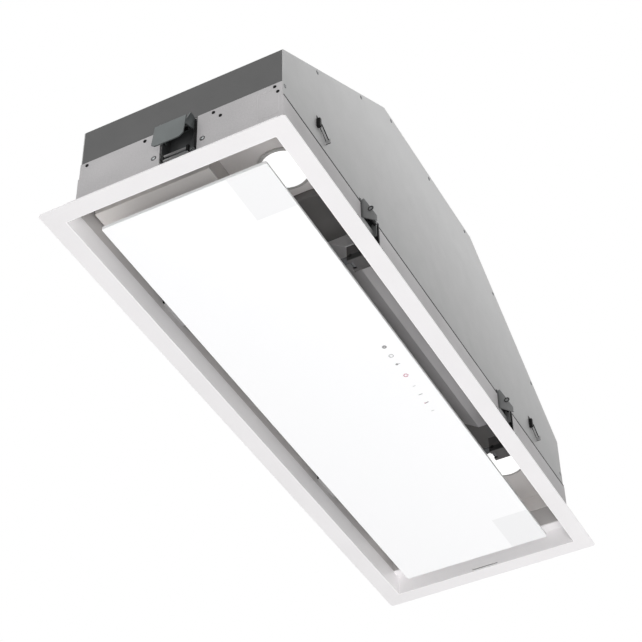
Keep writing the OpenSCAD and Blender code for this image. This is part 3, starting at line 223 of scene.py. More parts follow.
def plated(name, dark, light, roughness, lines=(60, 1, 1), depth=0.006, metallic=1.0,
           cloud=1.0, crystal=0.0, shade_rise=None):
    """Plated sheet; cloud and crystal are how much those show, the last gives the heights of a painted shade."""
    material, tree, shader, place = finish(name, roughness, metallic)
    mill = grain(tree, place, MILL_MM, 3.0, lines)
    patch = add(tree, "ShaderNodeMath", PRODUCT_SUM, (grain(tree, place, CLOUD_MM), cloud, 0.5 - cloud / 2))
    mixed = add(tree, "ShaderNodeMath", PRODUCT_SUM, (mill, 0.35 * cloud, patch))
    if crystal:
        cell = add(tree, "ShaderNodeTexVoronoi", Vector=place, Scale=1.0 / CRYSTAL_MM).outputs["Color"]
        cell = add(tree, "ShaderNodeSeparateColor", values=(cell,))
        mixed = add(tree, "ShaderNodeMath", PRODUCT_SUM, (cell, crystal, mixed))
    # painted shade: the tone rises with height, so the sheet is darker low down
    if shade_rise:
        height = add(tree, "ShaderNodeSeparateXYZ", values=(place,)).outputs["Z"]
        rise = add(tree, "ShaderNodeMapRange", values=(height, *shade_rise, -0.05, 0.4))
        mixed = add(tree, "ShaderNodeMath", {"operation": "ADD"}, (mixed, rise))
    tree.links.new(tone(tree, mixed, dark, light, 0.45, 0.9), shader.inputs["Base Color"])
    rub = add(tree, "ShaderNodeMapRange", values=(mixed, 0.4, 0.95, roughness - 0.06, roughness + 0.08))
    tree.links.new(rub.outputs[0], shader.inputs["Roughness"])
    relief(tree, shader, mill, depth)
    return material


PLATED = {
    # The long panels are galvanised and passivated: dull and even, with hardly any crystal, and painted shade low
    # down
    "panel_zinc": dict(dark="#969696", light="#c3c3c3", roughness=0.5, lines=(60, 60, 1), depth=0.003,
                       metallic=0.15, cloud=0.12, crystal=0.02, shade_rise=(70, 270)),
    # The fan scroll is plain galvanised sheet, so its crystals show
    "scroll_zinc": dict(dark="#868a8c", light="#909496", roughness=0.42, crystal=0.1),
    # Brackets and wings of the clamps are dark zinc plate, the wings a little greener and smoother
    "clamp_steel": dict(dark="#4a4b4c", light="#58595a", roughness=0.45, metallic=0.4),
    "wing_steel": dict(dark="#555a5a", light="#646969", roughness=0.4, lines=(1, 1, 40), metallic=0.6),
    # Brackets inside are plain bright zinc plate, with the crystals just showing
    "bracket_zinc": dict(dark="#aeb0b1", light="#b8babb", roughness=0.4, crystal=0.1),
    # Turned pins, nickel on the magnets and the rivets' aluminium have no mill lines
    "pin_steel": dict(dark="#a9abac", light="#b9bbbc", roughness=0.25, lines=(1, 1, 1), depth=0.002),
    "magnet_nickel": dict(dark="#c2c4c5", light="#cccecf", roughness=0.16, lines=(1, 1, 1), depth=0.002),
    "rivet_grey": dict(dark="#808283", light="#939596", roughness=0.35, lines=(1, 1, 1), depth=0.004,
                       metallic=0.7),
    # Aluminium: pressed fins behind the lamps, and the filters' frames and mesh, brighter than zinc
    "fin_aluminium": dict(dark="#949494", light="#9f9f9f", roughness=0.45, lines=(1, 1, 30)),
    "filter_aluminium": dict(dark="#a9acad", light="#b3b6b7", roughness=0.35),
    "filter_mesh": dict(dark="#bdc0c2", light="#c8cbcd", roughness=0.32, lines=(1, 1, 1), depth=0.004),
}
finishes.update({name: plated(name, **look) for name, look in PLATED.items()})
print("finishes so far", len(finishes))

# %% [markdown]
# Moulded plastic has a fine spark-eroded grain. Rubber and foam are duller and their grain is
# deeper. The board is a green lacquer over copper tracks, which show as paler straight bands.

# %% Plastic, rubber and board
def moulded(name, dark, light, roughness, grain_mm=0.5, depth=0.02):
    """Moulded plastic: a soft drift of colour over 40 mm and a fine eroded grain."""
    material, tree, shader, place = finish(name, roughness)
    tree.links.new(tone(tree, grain(tree, place, 40.0), dark, light), shader.inputs["Base Color"])
    relief(tree, shader, grain(tree, place, grain_mm, 2.0), depth)
    return material


def board(name, dark, light, pitch_mm):
    """Lacquered circuit board: tracks at one pitch along X, broken up in staggered lengths."""
    material, tree, shader, place = finish(name, 0.35)
    track = add(tree, "ShaderNodeTexBrick", {"offset": 0.37}, Vector=place, Scale=1.0, Mortar_Size=0.28,
                Brick_Width=pitch_mm * 9, Row_Height=pitch_mm).outputs["Fac"]
    tree.links.new(tone(tree, track, dark, light, 0.2, 0.8), shader.inputs["Base Color"])
    relief(tree, shader, track, 0.04)
    return material


MOULDED = {
    # Flame-proof plastics: the housing, the small black parts, the terminals, the duct, the wheel
    "housing_dark": dict(dark="#686665", light="#6f6d6c", roughness=0.55),
    "plastic_black": dict(dark="#1b1b1b", light="#232323", roughness=0.48),
    "terminal_ivory": dict(dark="#e4e0d4", light="#ebe7db", roughness=0.5),
    "duct_plastic": dict(dark="#cbcdce", light="#d3d5d6", roughness=0.5),
    "impeller_black": dict(dark="#2b2e30", light="#313436", roughness=0.5),
    # Rubber mounts and the foam gasket swallow light, so they look the darkest and dullest
    "rubber_black": dict(dark="#1a1a1a", light="#1f1f1f", roughness=0.8, grain_mm=0.8, depth=0.03),
    "foam_black": dict(dark="#343434", light="#404040", roughness=0.95, grain_mm=1.4, depth=0.25),
}
finishes.update({name: moulded(name, **look) for name, look in MOULDED.items()})
finishes["board_green"] = board("board_green", "#245a33", "#3a7a4b", 2.0)
print("finishes so far", len(finishes))

# %% [markdown]
# The glass is clear float glass painted white on its back, so it shows a bright white under a
# mirror-smooth face. Its two front corners are left thinner as windows for the lamps, a slightly
# greyer white. Its ground edge is greyer too. Both are drawn from the piece's own coordinates, by
# a mask that says where a point is. The lenses are frosted plastic and glow a little.

# %% Glass and lenses
WINDOW_X, WINDOW_Y = 272.0, -46.0
GROUND_X, GROUND_Y = 331.7, 88.7


def within(tree, place, **spans):
    """A mask: 1 where x, y or z, or its size without sign (size_x), is between two limits in mm."""
    split = add(tree, "ShaderNodeSeparateXYZ", values=(place,)).outputs
    mask = 1.0
    for axis, (low, high) in spans.items():
        value = split[axis[-1].upper()]
        if axis.startswith("size"):
            value = add(tree, "ShaderNodeMath", {"operation": "ABSOLUTE"}, (value,))
        for rule, limit in (("GREATER_THAN", low), ("LESS_THAN", high)):
            if limit is not None:
                test = add(tree, "ShaderNodeMath", {"operation": rule}, (value, limit))
                mask = add(tree, "ShaderNodeMath", PRODUCT, (mask, test))
    return mask


glass, tree, shader, place = finish("glass_white", 0.05, IOR=1.5, Coat_Weight=0.6, Coat_Roughness=0.02)
window = within(tree, place, size_x=(WINDOW_X, None), y=(None, WINDOW_Y))
white = add(tree, "ShaderNodeMix", MIX_COLOURS, (window, *SKIP, linear("#fdfdfe"), linear("#f3f3f4")))
face = within(tree, place, size_x=(None, GROUND_X), size_y=(None, GROUND_Y))
pane = add(tree, "ShaderNodeMix", MIX_COLOURS, (face, *SKIP, linear("#eceded"), white.outputs[2]))
tree.links.new(pane.outputs[2], shader.inputs["Base Color"])
finishes["glass_white"] = glass

lens, tree, shader, place = finish(
    "lens_white", 0.35, Emission_Color=linear("#ffffff"), Emission_Strength=0.8)
tree.links.new(tone(tree, grain(tree, place, 12.0), "#f6f6f6", "#fdfdfd"), shader.inputs["Base Color"])
relief(tree, shader, grain(tree, place, 1.0), 0.02)
finishes["lens_white"] = lens
print("all finishes", len(finishes))

# %% [markdown]
# Some sheets are seen from both sides and look paler inside, where light bounces between white
# walls, and the front wall of the suction box lies in shade. The same mask paints that light and
# shade as a second colour on a copy of their finish. The hinge blocks are dark grey, a painted
# light from below, with a black band of painted shade near their lower edge, and the wings on the
# long sides are a paler zinc than those at the ends.

# %% Finishes of single pieces
def repaint(material, colour, **spans):
    """A copy of a finish, with another colour in the part of space that the spans in mm leave."""
    made = material.copy()
    tree = made.node_tree
    base = tree.nodes["Principled BSDF"].inputs["Base Color"]
    mask = within(tree, place_in_mm(tree), **spans)
    outside = base.links[0].from_socket
    mixed = add(tree, "ShaderNodeMix", MIX_COLOURS, (mask, *SKIP, outside, linear(colour)))
    tree.links.new(mixed.outputs[2], base)
    return made


hinge, tree, shader, place = finish("hinge_black", 0.5)
# painted light: the blocks' dark grey stands for light from below, and the black band is painted shade
lit_grey = tone(tree, grain(tree, place, 6.0), "#383636", "#413f3f")
shaded_band = within(tree, place, z=(5.8, 12.0))
mixed = add(tree, "ShaderNodeMix", MIX_COLOURS, (shaded_band, *SKIP, lit_grey, linear("#121212")))
tree.links.new(mixed.outputs[2], shader.inputs["Base Color"])
relief(tree, shader, grain(tree, place, 0.5), 0.02)

OWN_FINISH = {
    "hinge_blocks": hinge,
    "strikers": finishes["tray_grey"],
    "hinge_pins": finishes["screw_black"],
    "clamp_hinge_pins": finishes["screw_black"],
    "roof_wrap": repaint(
        finishes["wrap_dark"], "#f6f2f0", size_x=(None, 342.6), size_y=(None, 113.0), z=(None, 130.0)),
    "flange_frame": repaint(
        finishes["flange_white"], "#fffdfe", size_x=(None, 356.3), size_y=(None, 112.8)),
    "suction_box": repaint(finishes["box_steel"], "#c0bcb9", y=(None, -18.6)),
    "lower_skirt": repaint(
        finishes["skirt_grey"], "#d0cdcc", size_x=(None, 343.6), size_y=(None, 112.9), z=(None, 90.0)),
}
side_wing = plated("wing_plain", "#7e7f7f", "#8d8e8e", 0.42, (1, 1, 40), metallic=0.5)
OWN_FINISH.update({"clamp_wing_%d" % i: side_wing for i in range(3, 7)})
print("pieces with a finish of their own", len(OWN_FINISH))

# %% [markdown]
# Each solid keeps its shape, but real sheets and mouldings have no razor edges: a folded edge is
# about half a millimetre round, and it catches a thin light. A node's mesh is loose triangles, so
# it is copied, the copy is merged and its flat faces joined again, and a small bevel rounds it.
# The shading follows the large faces, so that flat sheets stay flat right up to the bevel.

# %% Round the edges of the solids
EDGE_MM = {
    "flange_frame": 0.5, "lower_skirt": 0.3, "front_side_panel": 0.2, "rear_side_panel": 0.2,
    "roof_wrap": 0.3, "glass_panel": 0.5, "control_housing": 0.8, "control_cover": 0.4,
    "suction_box": 0.3, "tray": 0.3, "panel_carrier": 0.3, "outlet_spigot": 0.5, "cable_gland": 0.4,
    "hinge_arms": 0.5, "hinge_blocks": 0.6, "clamp_brackets": 0.3, "lamp_bezels": 0.3,
    "filter_frame_left": 0.4, "filter_frame_right": 0.4, "terminal_block": 0.3, "motor_body": 0.8,
    "flap_left": 0.3, "flap_right": 0.3, "catch_brackets": 0.3, "scroll_wall": 0.2,
}
EDGE_MM.update({"clamp_wing_%d" % i: 0.35 for i in range(1, 7)})
WELD_MM = 0.002
slot_of = {part["node"]: part["material_slot"] for part in frame["record"]["subparts"]}
body_of = {node: body for body, held in frame["record"]["behaviour"]["bodies"].items() for node in held}


def soften(name, width):
    """A copy of a node with rounded edges, which stands for it on the same body."""
    mesh = nodes[name].data.copy()
    cut = bmesh.new()
    cut.from_mesh(mesh)
    bmesh.ops.remove_doubles(cut, verts=cut.verts, dist=WELD_MM * MM)
    if name != "flange_frame":  # its faces go round a wide opening, so they stay triangles
        bmesh.ops.dissolve_limit(cut, angle_limit=math.radians(0.5), verts=cut.verts, edges=cut.edges)
    cut.to_mesh(mesh)
    cut.free()
    mesh.materials.clear()
    mesh.materials.append(OWN_FINISH.get(name, finishes[slot_of[name]]))
    mesh.shade_smooth()
    piece = bpy.data.objects.new("soft_" + name, mesh)
    bpy.context.scene.collection.objects.link(piece)
    bevel = piece.modifiers.new("edge", "BEVEL")
    bevel.width = width * MM
    bevel.segments = 2
    bevel.limit_method = "ANGLE"
    bevel.angle_limit = math.radians(25)
    level = piece.modifiers.new("level", "WEIGHTED_NORMAL")
    level.weight = 100
    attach(piece, body_of[name])
    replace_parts(piece, name)


for name in sorted(nodes):
    nodes[name].data.materials.clear()
    nodes[name].data.materials.append(OWN_FINISH.get(name, finishes[slot_of[name]]))
for name, width in EDGE_MM.items():
    soften(name, width)
print("nodes with a finish", len(nodes), "of them softened", len(EDGE_MM))

# %% [markdown]
# Fixings repeat, so Geometry Nodes place them. A tree takes points, each with the way it faces,
# and sets one shape on every point. Its sizes are named inputs in millimetres, which the tree
# turns into metres first. They are set by the socket's identifier before the object is first
# evaluated. The result is kept as a plain mesh, one for each body, because a live modifier's
# instances are lost when the part is handed over.

# %% Helpers for the trees
def new_tree(name, **sizes):
    """A tree for a modifier: returns it, the geometry that comes in, and each size as a socket."""
    tree = bpy.data.node_groups.new(name, "GeometryNodeTree")
    tree.interface.new_socket("Geometry", in_out="INPUT", socket_type="NodeSocketGeometry")
    tree.interface.new_socket("Geometry", in_out="OUTPUT", socket_type="NodeSocketGeometry")
    for label, value in sizes.items():
        kind = "NodeSocketInt" if isinstance(value, int) else "NodeSocketFloat"
        tree.interface.new_socket(label, in_out="INPUT", socket_type=kind).default_value = value
    given = tree.nodes.new("NodeGroupInput").outputs
    sockets = [given["Geometry"]]
    for label, value in sizes.items():
        whole = isinstance(value, int)
        metres = given[label] if whole else add(tree, "ShaderNodeMath", PRODUCT, (given[label], MM))
        sockets.append(metres)
    return (tree, *sockets)


def on_points(tree, points, shape):
    """The shape on each point, its Z along the point's facing and its X along toward."""
    turn = None
    for axis, label, pivot in (("Z", "facing", "AUTO"), ("X", "toward", "Z")):
        way = add(tree, "GeometryNodeInputNamedAttribute", {"data_type": "FLOAT_VECTOR"}, Name=label)
        node = add(tree, "FunctionNodeAlignRotationToVector", {"axis": axis, "pivot_axis": pivot}, Vector=way)
        if turn:
            tree.links.new(turn, node.inputs["Rotation"])
        turn = node.outputs[0]
    return add(tree, "GeometryNodeInstanceOnPoints", Points=points, Instance=shape, Rotation=turn)


def end_tree(tree, geometry, material):
    """Closes a tree: instances made real, then one material for all of it."""
    real = add(tree, "GeometryNodeRealizeInstances", Geometry=geometry)
    dressed = add(tree, "GeometryNodeSetMaterial", Geometry=real, Material=material)
    add(tree, "NodeGroupOutput", Geometry=dressed)
    return tree


def grow(name, tree, points, body, slot, edges=(), **sizes):
    """Runs a tree on points in mm, (place, facing, toward), and keeps the result as a mesh."""
    seed = bpy.data.meshes.new(name)
    seed.from_pydata([[c * MM for c in point[0]] for point in points], edges, [])
    for i, label in ((1, "facing"), (2, "toward")):
        ways = [point[i] if len(point) > i else (1, 0, 0) for point in points]
        layer = seed.attributes.new(label, "FLOAT_VECTOR", "POINT")
        layer.data.foreach_set("vector", [c for way in ways for c in way])
    piece = bpy.data.objects.new(name, seed)
    bpy.context.scene.collection.objects.link(piece)
    modifier = piece.modifiers.new("grow", "NODES")
    modifier.node_group = tree
    for item in tree.interface.items_tree:
        if item.in_out == "INPUT" and item.name in sizes:
            modifier[item.identifier] = sizes[item.name]
    mesh = bpy.data.meshes.new_from_object(piece.evaluated_get(bpy.context.evaluated_depsgraph_get()))
    piece.modifiers.remove(modifier)
    piece.data = mesh
    mesh.shade_smooth()
    mesh.set_sharp_from_angle(angle=math.radians(35))
    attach(piece, body)
    print(name, len(points), "points,", len(mesh.polygons), "faces")
    return piece


print("a piece is grown in three steps: new_tree, end_tree, grow")

# %% [markdown]
# Many small pieces share a few places on the hood, in millimetres from its middle: how far out
# the long panels and the skirt's faces lie, and where the clamps on the long sides are.

# %% Places that small pieces share
ENDS = (-1, 1)  # the sign of X at the two ends, or of Y at the two long sides
SIDE_Y, SKIRT_Y, SKIRT_X = 112.2, 113.4, 344.2
CLAMP_X = (-166, 168)
print("skirt", 2 * SKIRT_X, "by", 2 * SKIRT_Y, "mm, clamps along it at", CLAMP_X)

# %% [markdown]
# The sheets are joined with blind rivets: a low dome, 3 to 5 mm wide, with the broken stem's pit
# in its middle. A real dome is pressed from a ball, so it is half a sphere squashed flat. The
# sheet sinks a little round each head, and a thin dark collar under it is painted shade there; the
# pit is a small dark disc of painted shade too.

# %% Rivets
def rivet_tree(material, part):
    """A tree that sets a rivet's head, or the painted shade of collar and pit that go with it, on points."""
    tree, points, radius, height = new_tree("rivet_" + part, Radius=2.0, Height=0.9)
    if part == "heads":
        ball = add(tree, "GeometryNodeMeshUVSphere", Segments=20, Rings=10, Radius=1.0)
        size = add(tree, "ShaderNodeCombineXYZ", values=(radius, radius, height))
        shape = add(tree, "GeometryNodeTransform", Geometry=ball, Scale=size)
    else:
        shape = add(tree, "GeometryNodeJoinGeometry")
        for sides, wide, deep, lift in ((20, 1.28, 0.3, 0.0), (12, 0.3, 0.2, 0.93)):
            wide, deep, lift = (add(tree, "ShaderNodeMath", PRODUCT, pair)
                                for pair in ((radius, wide), (height, deep), (height, lift)))
            disc = add(tree, "GeometryNodeMeshCylinder", Vertices=sides, Radius=wide, Depth=deep)
            moved = add(tree, "GeometryNodeTransform", Geometry=disc,
                        Translation=add(tree, "ShaderNodeCombineXYZ", Z=lift))
            tree.links.new(moved.outputs[0], shape.inputs[0])
    return end_tree(tree, on_points(tree, points, shape), material)


EAR_OUT = 26.7  # from a clamp's middle to the rivets beside it
PANEL_RIVETS = [(s * x, z) for x, z in ((97, 279.4), (172, 241.7), (271.9, 177.3), (339, 87)) for s in ENDS]
side_rivets = [((x, s * SIDE_Y, z), (0, s, 0)) for x, z in PANEL_RIVETS + [(0, 277.8)] for s in ENDS]
ear_rivets = [((s * SKIRT_X, t * EAR_OUT, 55), (s, 0, 0)) for s in ENDS for t in ENDS]
ear_rivets += [((x + t * EAR_OUT, s * SKIRT_Y, 43), (0, s, 0)) for x in CLAMP_X for s in ENDS for t in ENDS]
heads = rivet_tree(finishes["rivet_grey"], "heads")
# the collars and pits are painted shade round and in each head
collars = rivet_tree(finishes["screw_black"], "collars")
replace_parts(grow("panel_rivets", heads, side_rivets, "hood", "rivet_grey", Radius=1.7, Height=0.9), "body_rivets")
grow("ear_rivets", heads, ear_rivets, "hood", "rivet_grey", Radius=2.3, Height=0.9)
grow("panel_rivet_collars", collars, side_rivets, "hood", "screw_black", Radius=1.7, Height=0.9)
grow("ear_rivet_collars", collars, ear_rivets, "hood", "screw_black", Radius=2.3, Height=0.9)

# %% [markdown]
# Small black screws hold the end skirts, and one holds each clamp's back. The head is a pan with a
# cross cut into it. The cross is two boxes, taken out of one head with a Boolean inside the tree,
# so the cut is worked out once and then repeated. At each end two more sit a little lower.

# %% Cross-head screws
tree, points, radius, height = new_tree("pan_screw", Radius=1.9, Height=1.2)
dome = add(tree, "GeometryNodeMeshUVSphere", Segments=24, Rings=12, Radius=1.0)
dome = add(tree, "GeometryNodeTransform", Geometry=dome,
           Scale=add(tree, "ShaderNodeCombineXYZ", values=(radius, radius, height)))
cut = add(tree, "GeometryNodeMeshBoolean", {"operation": "DIFFERENCE", "solver": "MANIFOLD"})
tree.links.new(dome.outputs[0], cut.inputs[0])
long, short, lift = (add(tree, "ShaderNodeMath", PRODUCT, pair)
                     for pair in ((radius, 1.2), (radius, 0.3), (height, 0.95)))
for sides in ((long, short, height), (short, long, height)):
    bar = add(tree, "GeometryNodeMeshCube", Size=add(tree, "ShaderNodeCombineXYZ", values=sides))
    bar = add(tree, "GeometryNodeTransform", Geometry=bar,
              Translation=add(tree, "ShaderNodeCombineXYZ", Z=lift))
    tree.links.new(bar.outputs[0], cut.inputs[1])
end_tree(tree, on_points(tree, points, cut), finishes["screw_black"])
screws = [((s * SKIRT_X, t * y, 85), (s, 0, 0)) for s in ENDS for t in ENDS for y in (38, 104.2)]
screws += [((s * 328.2, 0, 69), (s, 0, 0)) for s in ENDS]
screws += [((x, s * 97.4, 57), (0, s, 0)) for x in CLAMP_X for s in ENDS]
screws += [((s * SKIRT_X, y, 76.8), (s, 0, 0)) for s in ENDS for y in (-45.8, -107.5)]
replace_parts(grow("cross_screws", tree, screws, "hood", "screw_black", Radius=1.9, Height=1.2), "body_screws")

# %% [markdown]
# Each clamp has a torsion spring round its hinge pin, nine turns of 1 mm wire with one leg
# against the bracket. A spiral curve is exactly that shape, and sweeping a circle along it gives
# the wire, so the tree only needs the wire's thickness, the coil's radius, its length and turns.

# %% Torsion springs of the clamps
tree, points, wire, radius, length, leg, turns = new_tree(
    "torsion_spring", Wire=1.0, Radius=2.6, Length=13.0, Leg=11.0, Turns=9)
coil = add(tree, "GeometryNodeCurveSpiral", Resolution=24, Rotations=turns, Start_Radius=radius,
           End_Radius=radius, Height=length)
straight = add(tree, "GeometryNodeCurvePrimitiveLine",
               Start=add(tree, "ShaderNodeCombineXYZ", X=radius),
               End=add(tree, "ShaderNodeCombineXYZ", X=radius, Y=leg))
whole = add(tree, "GeometryNodeJoinGeometry")
for run in (coil, straight):
    tree.links.new(run.outputs[0], whole.inputs[0])
ring = add(tree, "GeometryNodeCurvePrimitiveCircle", Resolution=8,
           Radius=add(tree, "ShaderNodeMath", PRODUCT, (wire, 0.5)))
swept = add(tree, "GeometryNodeCurveToMesh", Curve=whole, Profile_Curve=ring, Fill_Caps=True)
back = add(tree, "ShaderNodeMath", PRODUCT, (length, -0.5))
swept = add(tree, "GeometryNodeTransform", Geometry=swept,
            Translation=add(tree, "ShaderNodeCombineXYZ", Z=back))
end_tree(tree, on_points(tree, points, swept), finishes["screw_black"])
pivots = [((s * 341.7, 0, 84), (0, 1, 0), (0, 0, -1)) for s in ENDS]
pivots += [((x, s * 110.9, 72), (1, 0, 0), (0, 0, -1)) for x in CLAMP_X for s in ENDS]
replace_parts(grow("torsion_springs", tree, pivots, "hood", "screw_black"), "clamp_springs")

# %% [markdown]
# The grease filters are frames over expanded aluminium: sheet that is slit and pulled open into
# diamonds 8 mm long. One strand is a zigzag line. Laid side by side, with every other one turned
# over, the strands touch at their corners, which is how expanded metal is joined.

# %% Expanded metal of the filters
tree, points, length, pitch, rise, strand, lines = new_tree(
    "expanded_metal", Length=246.0, Pitch=8.0, Rise=2.4, Strand=0.9, Rows=18)
steps = add(tree, "ShaderNodeMath", {"operation": "DIVIDE"},
            (add(tree, "ShaderNodeMath", PRODUCT, (length, 2.0)), pitch))
ends = [add(tree, "ShaderNodeCombineXYZ", X=add(tree, "ShaderNodeMath", PRODUCT, (length, half)))
        for half in (-0.5, 0.5)]
line = add(tree, "GeometryNodeCurvePrimitiveLine", Start=ends[0], End=ends[1])
line = add(tree, "GeometryNodeResampleCurve", Curve=line,
           Count=add(tree, "ShaderNodeMath", {"operation": "ADD"}, (steps, 1.0)))
odd = add(tree, "ShaderNodeMath", {"operation": "MODULO"}, (add(tree, "GeometryNodeInputIndex"), 2.0))
swing = add(tree, "ShaderNodeMath", {"operation": "SUBTRACT"}, (odd, 0.5))
swing = add(tree, "ShaderNodeMath", PRODUCT, (swing, rise))
line = add(tree, "GeometryNodeSetPosition", Geometry=line,
           Offset=add(tree, "ShaderNodeCombineXYZ", Y=swing))
flat = add(tree, "GeometryNodeCurvePrimitiveQuadrilateral", Width=strand,
           Height=add(tree, "ShaderNodeMath", PRODUCT, (strand, 0.5)))
zigzag = add(tree, "GeometryNodeCurveToMesh", Curve=line, Profile_Curve=flat, Fill_Caps=True)
apart = add(tree, "ShaderNodeMath", PRODUCT, (rise, 2.0))
laid = add(tree, "GeometryNodeMeshLine", Count=lines, Offset=add(tree, "ShaderNodeCombineXYZ", Y=apart))
turn = add(tree, "ShaderNodeCombineXYZ", X=add(tree, "ShaderNodeMath", PRODUCT, (odd, math.pi)))
sheet = add(tree, "GeometryNodeInstanceOnPoints", Points=laid, Instance=zigzag,
            Rotation=add(tree, "FunctionNodeEulerToRotation", values=(turn,)))
end_tree(tree, on_points(tree, points, sheet), finishes["filter_mesh"])
for side, x in (("left", -138), ("right", 138)):
    middle = [((x, 3.5, 44.6), (0, 0, 1), (1, 0, 0))]
    grow("expanded_sheet_" + side, tree, middle, "filter_" + side, "filter_mesh")

# %% [markdown]
# Where two sheets meet there is a thin dark gap, and a slot or a half-cut knock-out shows as a
# line. Each is a path, so one tree sweeps a flat strip along edges. A strip stands a little proud
# of its sheet or lies back in its gap, because two faces in the same plane would flicker.

# %% Gaps and outlines
tree, points, deep, tall = new_tree("strip_on_path", Deep=0.2, Tall=0.9)
path = add(tree, "GeometryNodeMeshToCurve", Mesh=points)
bar = add(tree, "GeometryNodeCurvePrimitiveQuadrilateral", Width=deep, Height=tall)
strip = add(tree, "GeometryNodeCurveToMesh", Curve=path, Profile_Curve=bar, Fill_Caps=True)
strip_tree = end_tree(tree, strip, finishes["screw_black"])


def strips(name, runs, slot="screw_black", **sizes):
    """Strips along straight runs, each a pair of places in millimetres, on the fixed hood."""
    places = [(place,) for run in runs for place in run]
    edges = [(2 * i, 2 * i + 1) for i in range(len(runs))]
    grow(name, strip_tree, places, "hood", slot, edges, **sizes).data.materials[0] = finishes[slot]


SEAM_Y, SEAM_Z = 112.8, 70.7
spans = ((-342.8, -187), (-145, 147), (189, 342.8))
runs = [((a, s * SEAM_Y, SEAM_Z), (b, s * SEAM_Y, SEAM_Z)) for a, b in spans for s in ENDS]
strips("seam_gaps", runs, Deep=1.1, Tall=1.6)
runs = [((s * 357.0, -16.2, 3.1), (s * 357.0, 16.2, 3.1)) for s in ENDS]
strips("end_slot_backs", runs, slot="clamp_steel", Deep=0.6, Tall=2.2)
knock = [(-86.0, 48.0), (-108.6, 48.0), (-108.6, 82.0), (-86.0, 82.0)]
runs = [((s * SKIRT_X, *knock[i]), (s * SKIRT_X, *knock[i - 3])) for i in range(4) for s in ENDS]
strips("knock_out_outline", runs, slot="cover_grey", Deep=0.5, Tall=0.5)

# %% [markdown]
# Two tabs are punched out of the front panel, each with a strap under it. The strap is a fin that
# stands out from the sheet, with a dark line of painted shade along each edge, and a hooked end.

# %% Straps under the tabs
TAB_X = (-270.5, 252.0)
fins = [((x - 2, -114.2, 97.3), (x + 12, -114.2, 88.0)) for x in TAB_X]
strips("strap_fins", fins, slot="panel_zinc", Deep=4.4, Tall=0.6)
# painted shade: a dark line along each edge of the fin
runs = [((a, y, top), (b, y, low)) for (a, _, top), (b, _, low) in fins for y in (-113.3, -116.2)]
runs += [((x + 12.4, -113.2, 84.3), (x + 12.4, -118.0, 84.3)) for x in TAB_X]
strips("strap_outlines", runs, Deep=0.8, Tall=0.9)

# %% [markdown]
# A dark strip of painted shade runs down one side of every clamp's opening. At the end clamps two
# bright bars cross the pocket's mouth, with a dark block at each end of them. Strips do for all of
# these too.

# %% Shade strips and bars at the clamps
POCKET_HALF = 18.9
BAR_X = 341.6
# painted shade down one side of each clamp's opening
runs = [((s * 343.2, s * POCKET_HALF, 47.4), (s * 343.2, s * POCKET_HALF, 83)) for s in ENDS]
runs += [((x - s * POCKET_HALF, s * 112.4, 36.2), (x - s * POCKET_HALF, s * 112.4, 71))
         for x in CLAMP_X for s in ENDS]
strips("clamp_side_shade_strips", runs, Deep=2.4, Tall=2.4)
bars = [((s * BAR_X, s * 10.0, z), (s * BAR_X, -s * 17.4, z)) for s in ENDS for z in (48.5, 54.3)]
strips("clamp_end_bars", bars, slot="panel_zinc", Deep=1.6, Tall=1.5)
blocks = [((s * BAR_X, s * y, 48.8), (s * BAR_X, s * y, 56.6)) for s in ENDS for y in (9.6, -18.0)]
strips("clamp_end_blocks", blocks, Deep=2.6, Tall=2.6)

# %% [markdown]
# A ring is pressed into the head of each wing on the long sides, where its rivet sits. A circle
# swept along a circle is a ring, and one point on each wing's own body carries it.

# %% Ring on each wing
tree, points, radius, wire = new_tree("pressed_ring", Radius=2.5, Wire=1.0)
circle = add(tree, "GeometryNodeCurvePrimitiveCircle", Resolution=24, Radius=radius)
small = add(tree, "GeometryNodeCurvePrimitiveCircle", Resolution=8,
            Radius=add(tree, "ShaderNodeMath", PRODUCT, (wire, 0.5)))
ring = add(tree, "GeometryNodeCurveToMesh", Curve=circle, Profile_Curve=small)
end_tree(tree, on_points(tree, points, ring), finishes["screw_black"])
for i, x, y in ((3, -183.9, -1), (4, 150.1, -1), (5, -148.1, 1), (6, 185.9, 1)):
    grow("wing_ring_%d" % i, tree, [((x, y * 122.7, 58.7), (y, 0, 0))], "wing_%d" % i, "screw_black")

# %% [markdown]
# Behind the cut-out of each side clamp a thin plate closes the pocket below, so no daylight comes
# through the skirt. It is one folded sheet: a floor with a short lip turned up at its back. A
# plate is a few points on its side view, drawn out along X, so mesh code is the plain way.

# %% Floors of the clamp pockets
def drawn(name, outline, spans, body, slot, bevel=0.2):
    """A side view in (y, z) millimetres drawn out along each span of x, as one bevelled piece."""
    made = bmesh.new()
    for x0, x1 in spans:
        rings = [[made.verts.new((x * MM, y * MM, z * MM)) for y, z in outline] for x in (x0, x1)]
        made.faces.new(rings[0])
        made.faces.new(list(reversed(rings[1])))
        for k in range(len(outline)):
            made.faces.new((rings[0][k], rings[0][k - 1], rings[1][k - 1], rings[1][k]))
    bmesh.ops.recalc_face_normals(made, faces=made.faces)
    mesh = bpy.data.meshes.new(name)
    made.to_mesh(mesh)
    made.free()
    mesh.materials.append(finishes[slot])
    piece = bpy.data.objects.new(name, mesh)
    bpy.context.scene.collection.objects.link(piece)
    edge = piece.modifiers.new("edge", "BEVEL")
    edge.width, edge.segments = bevel * MM, 2
    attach(piece, body)


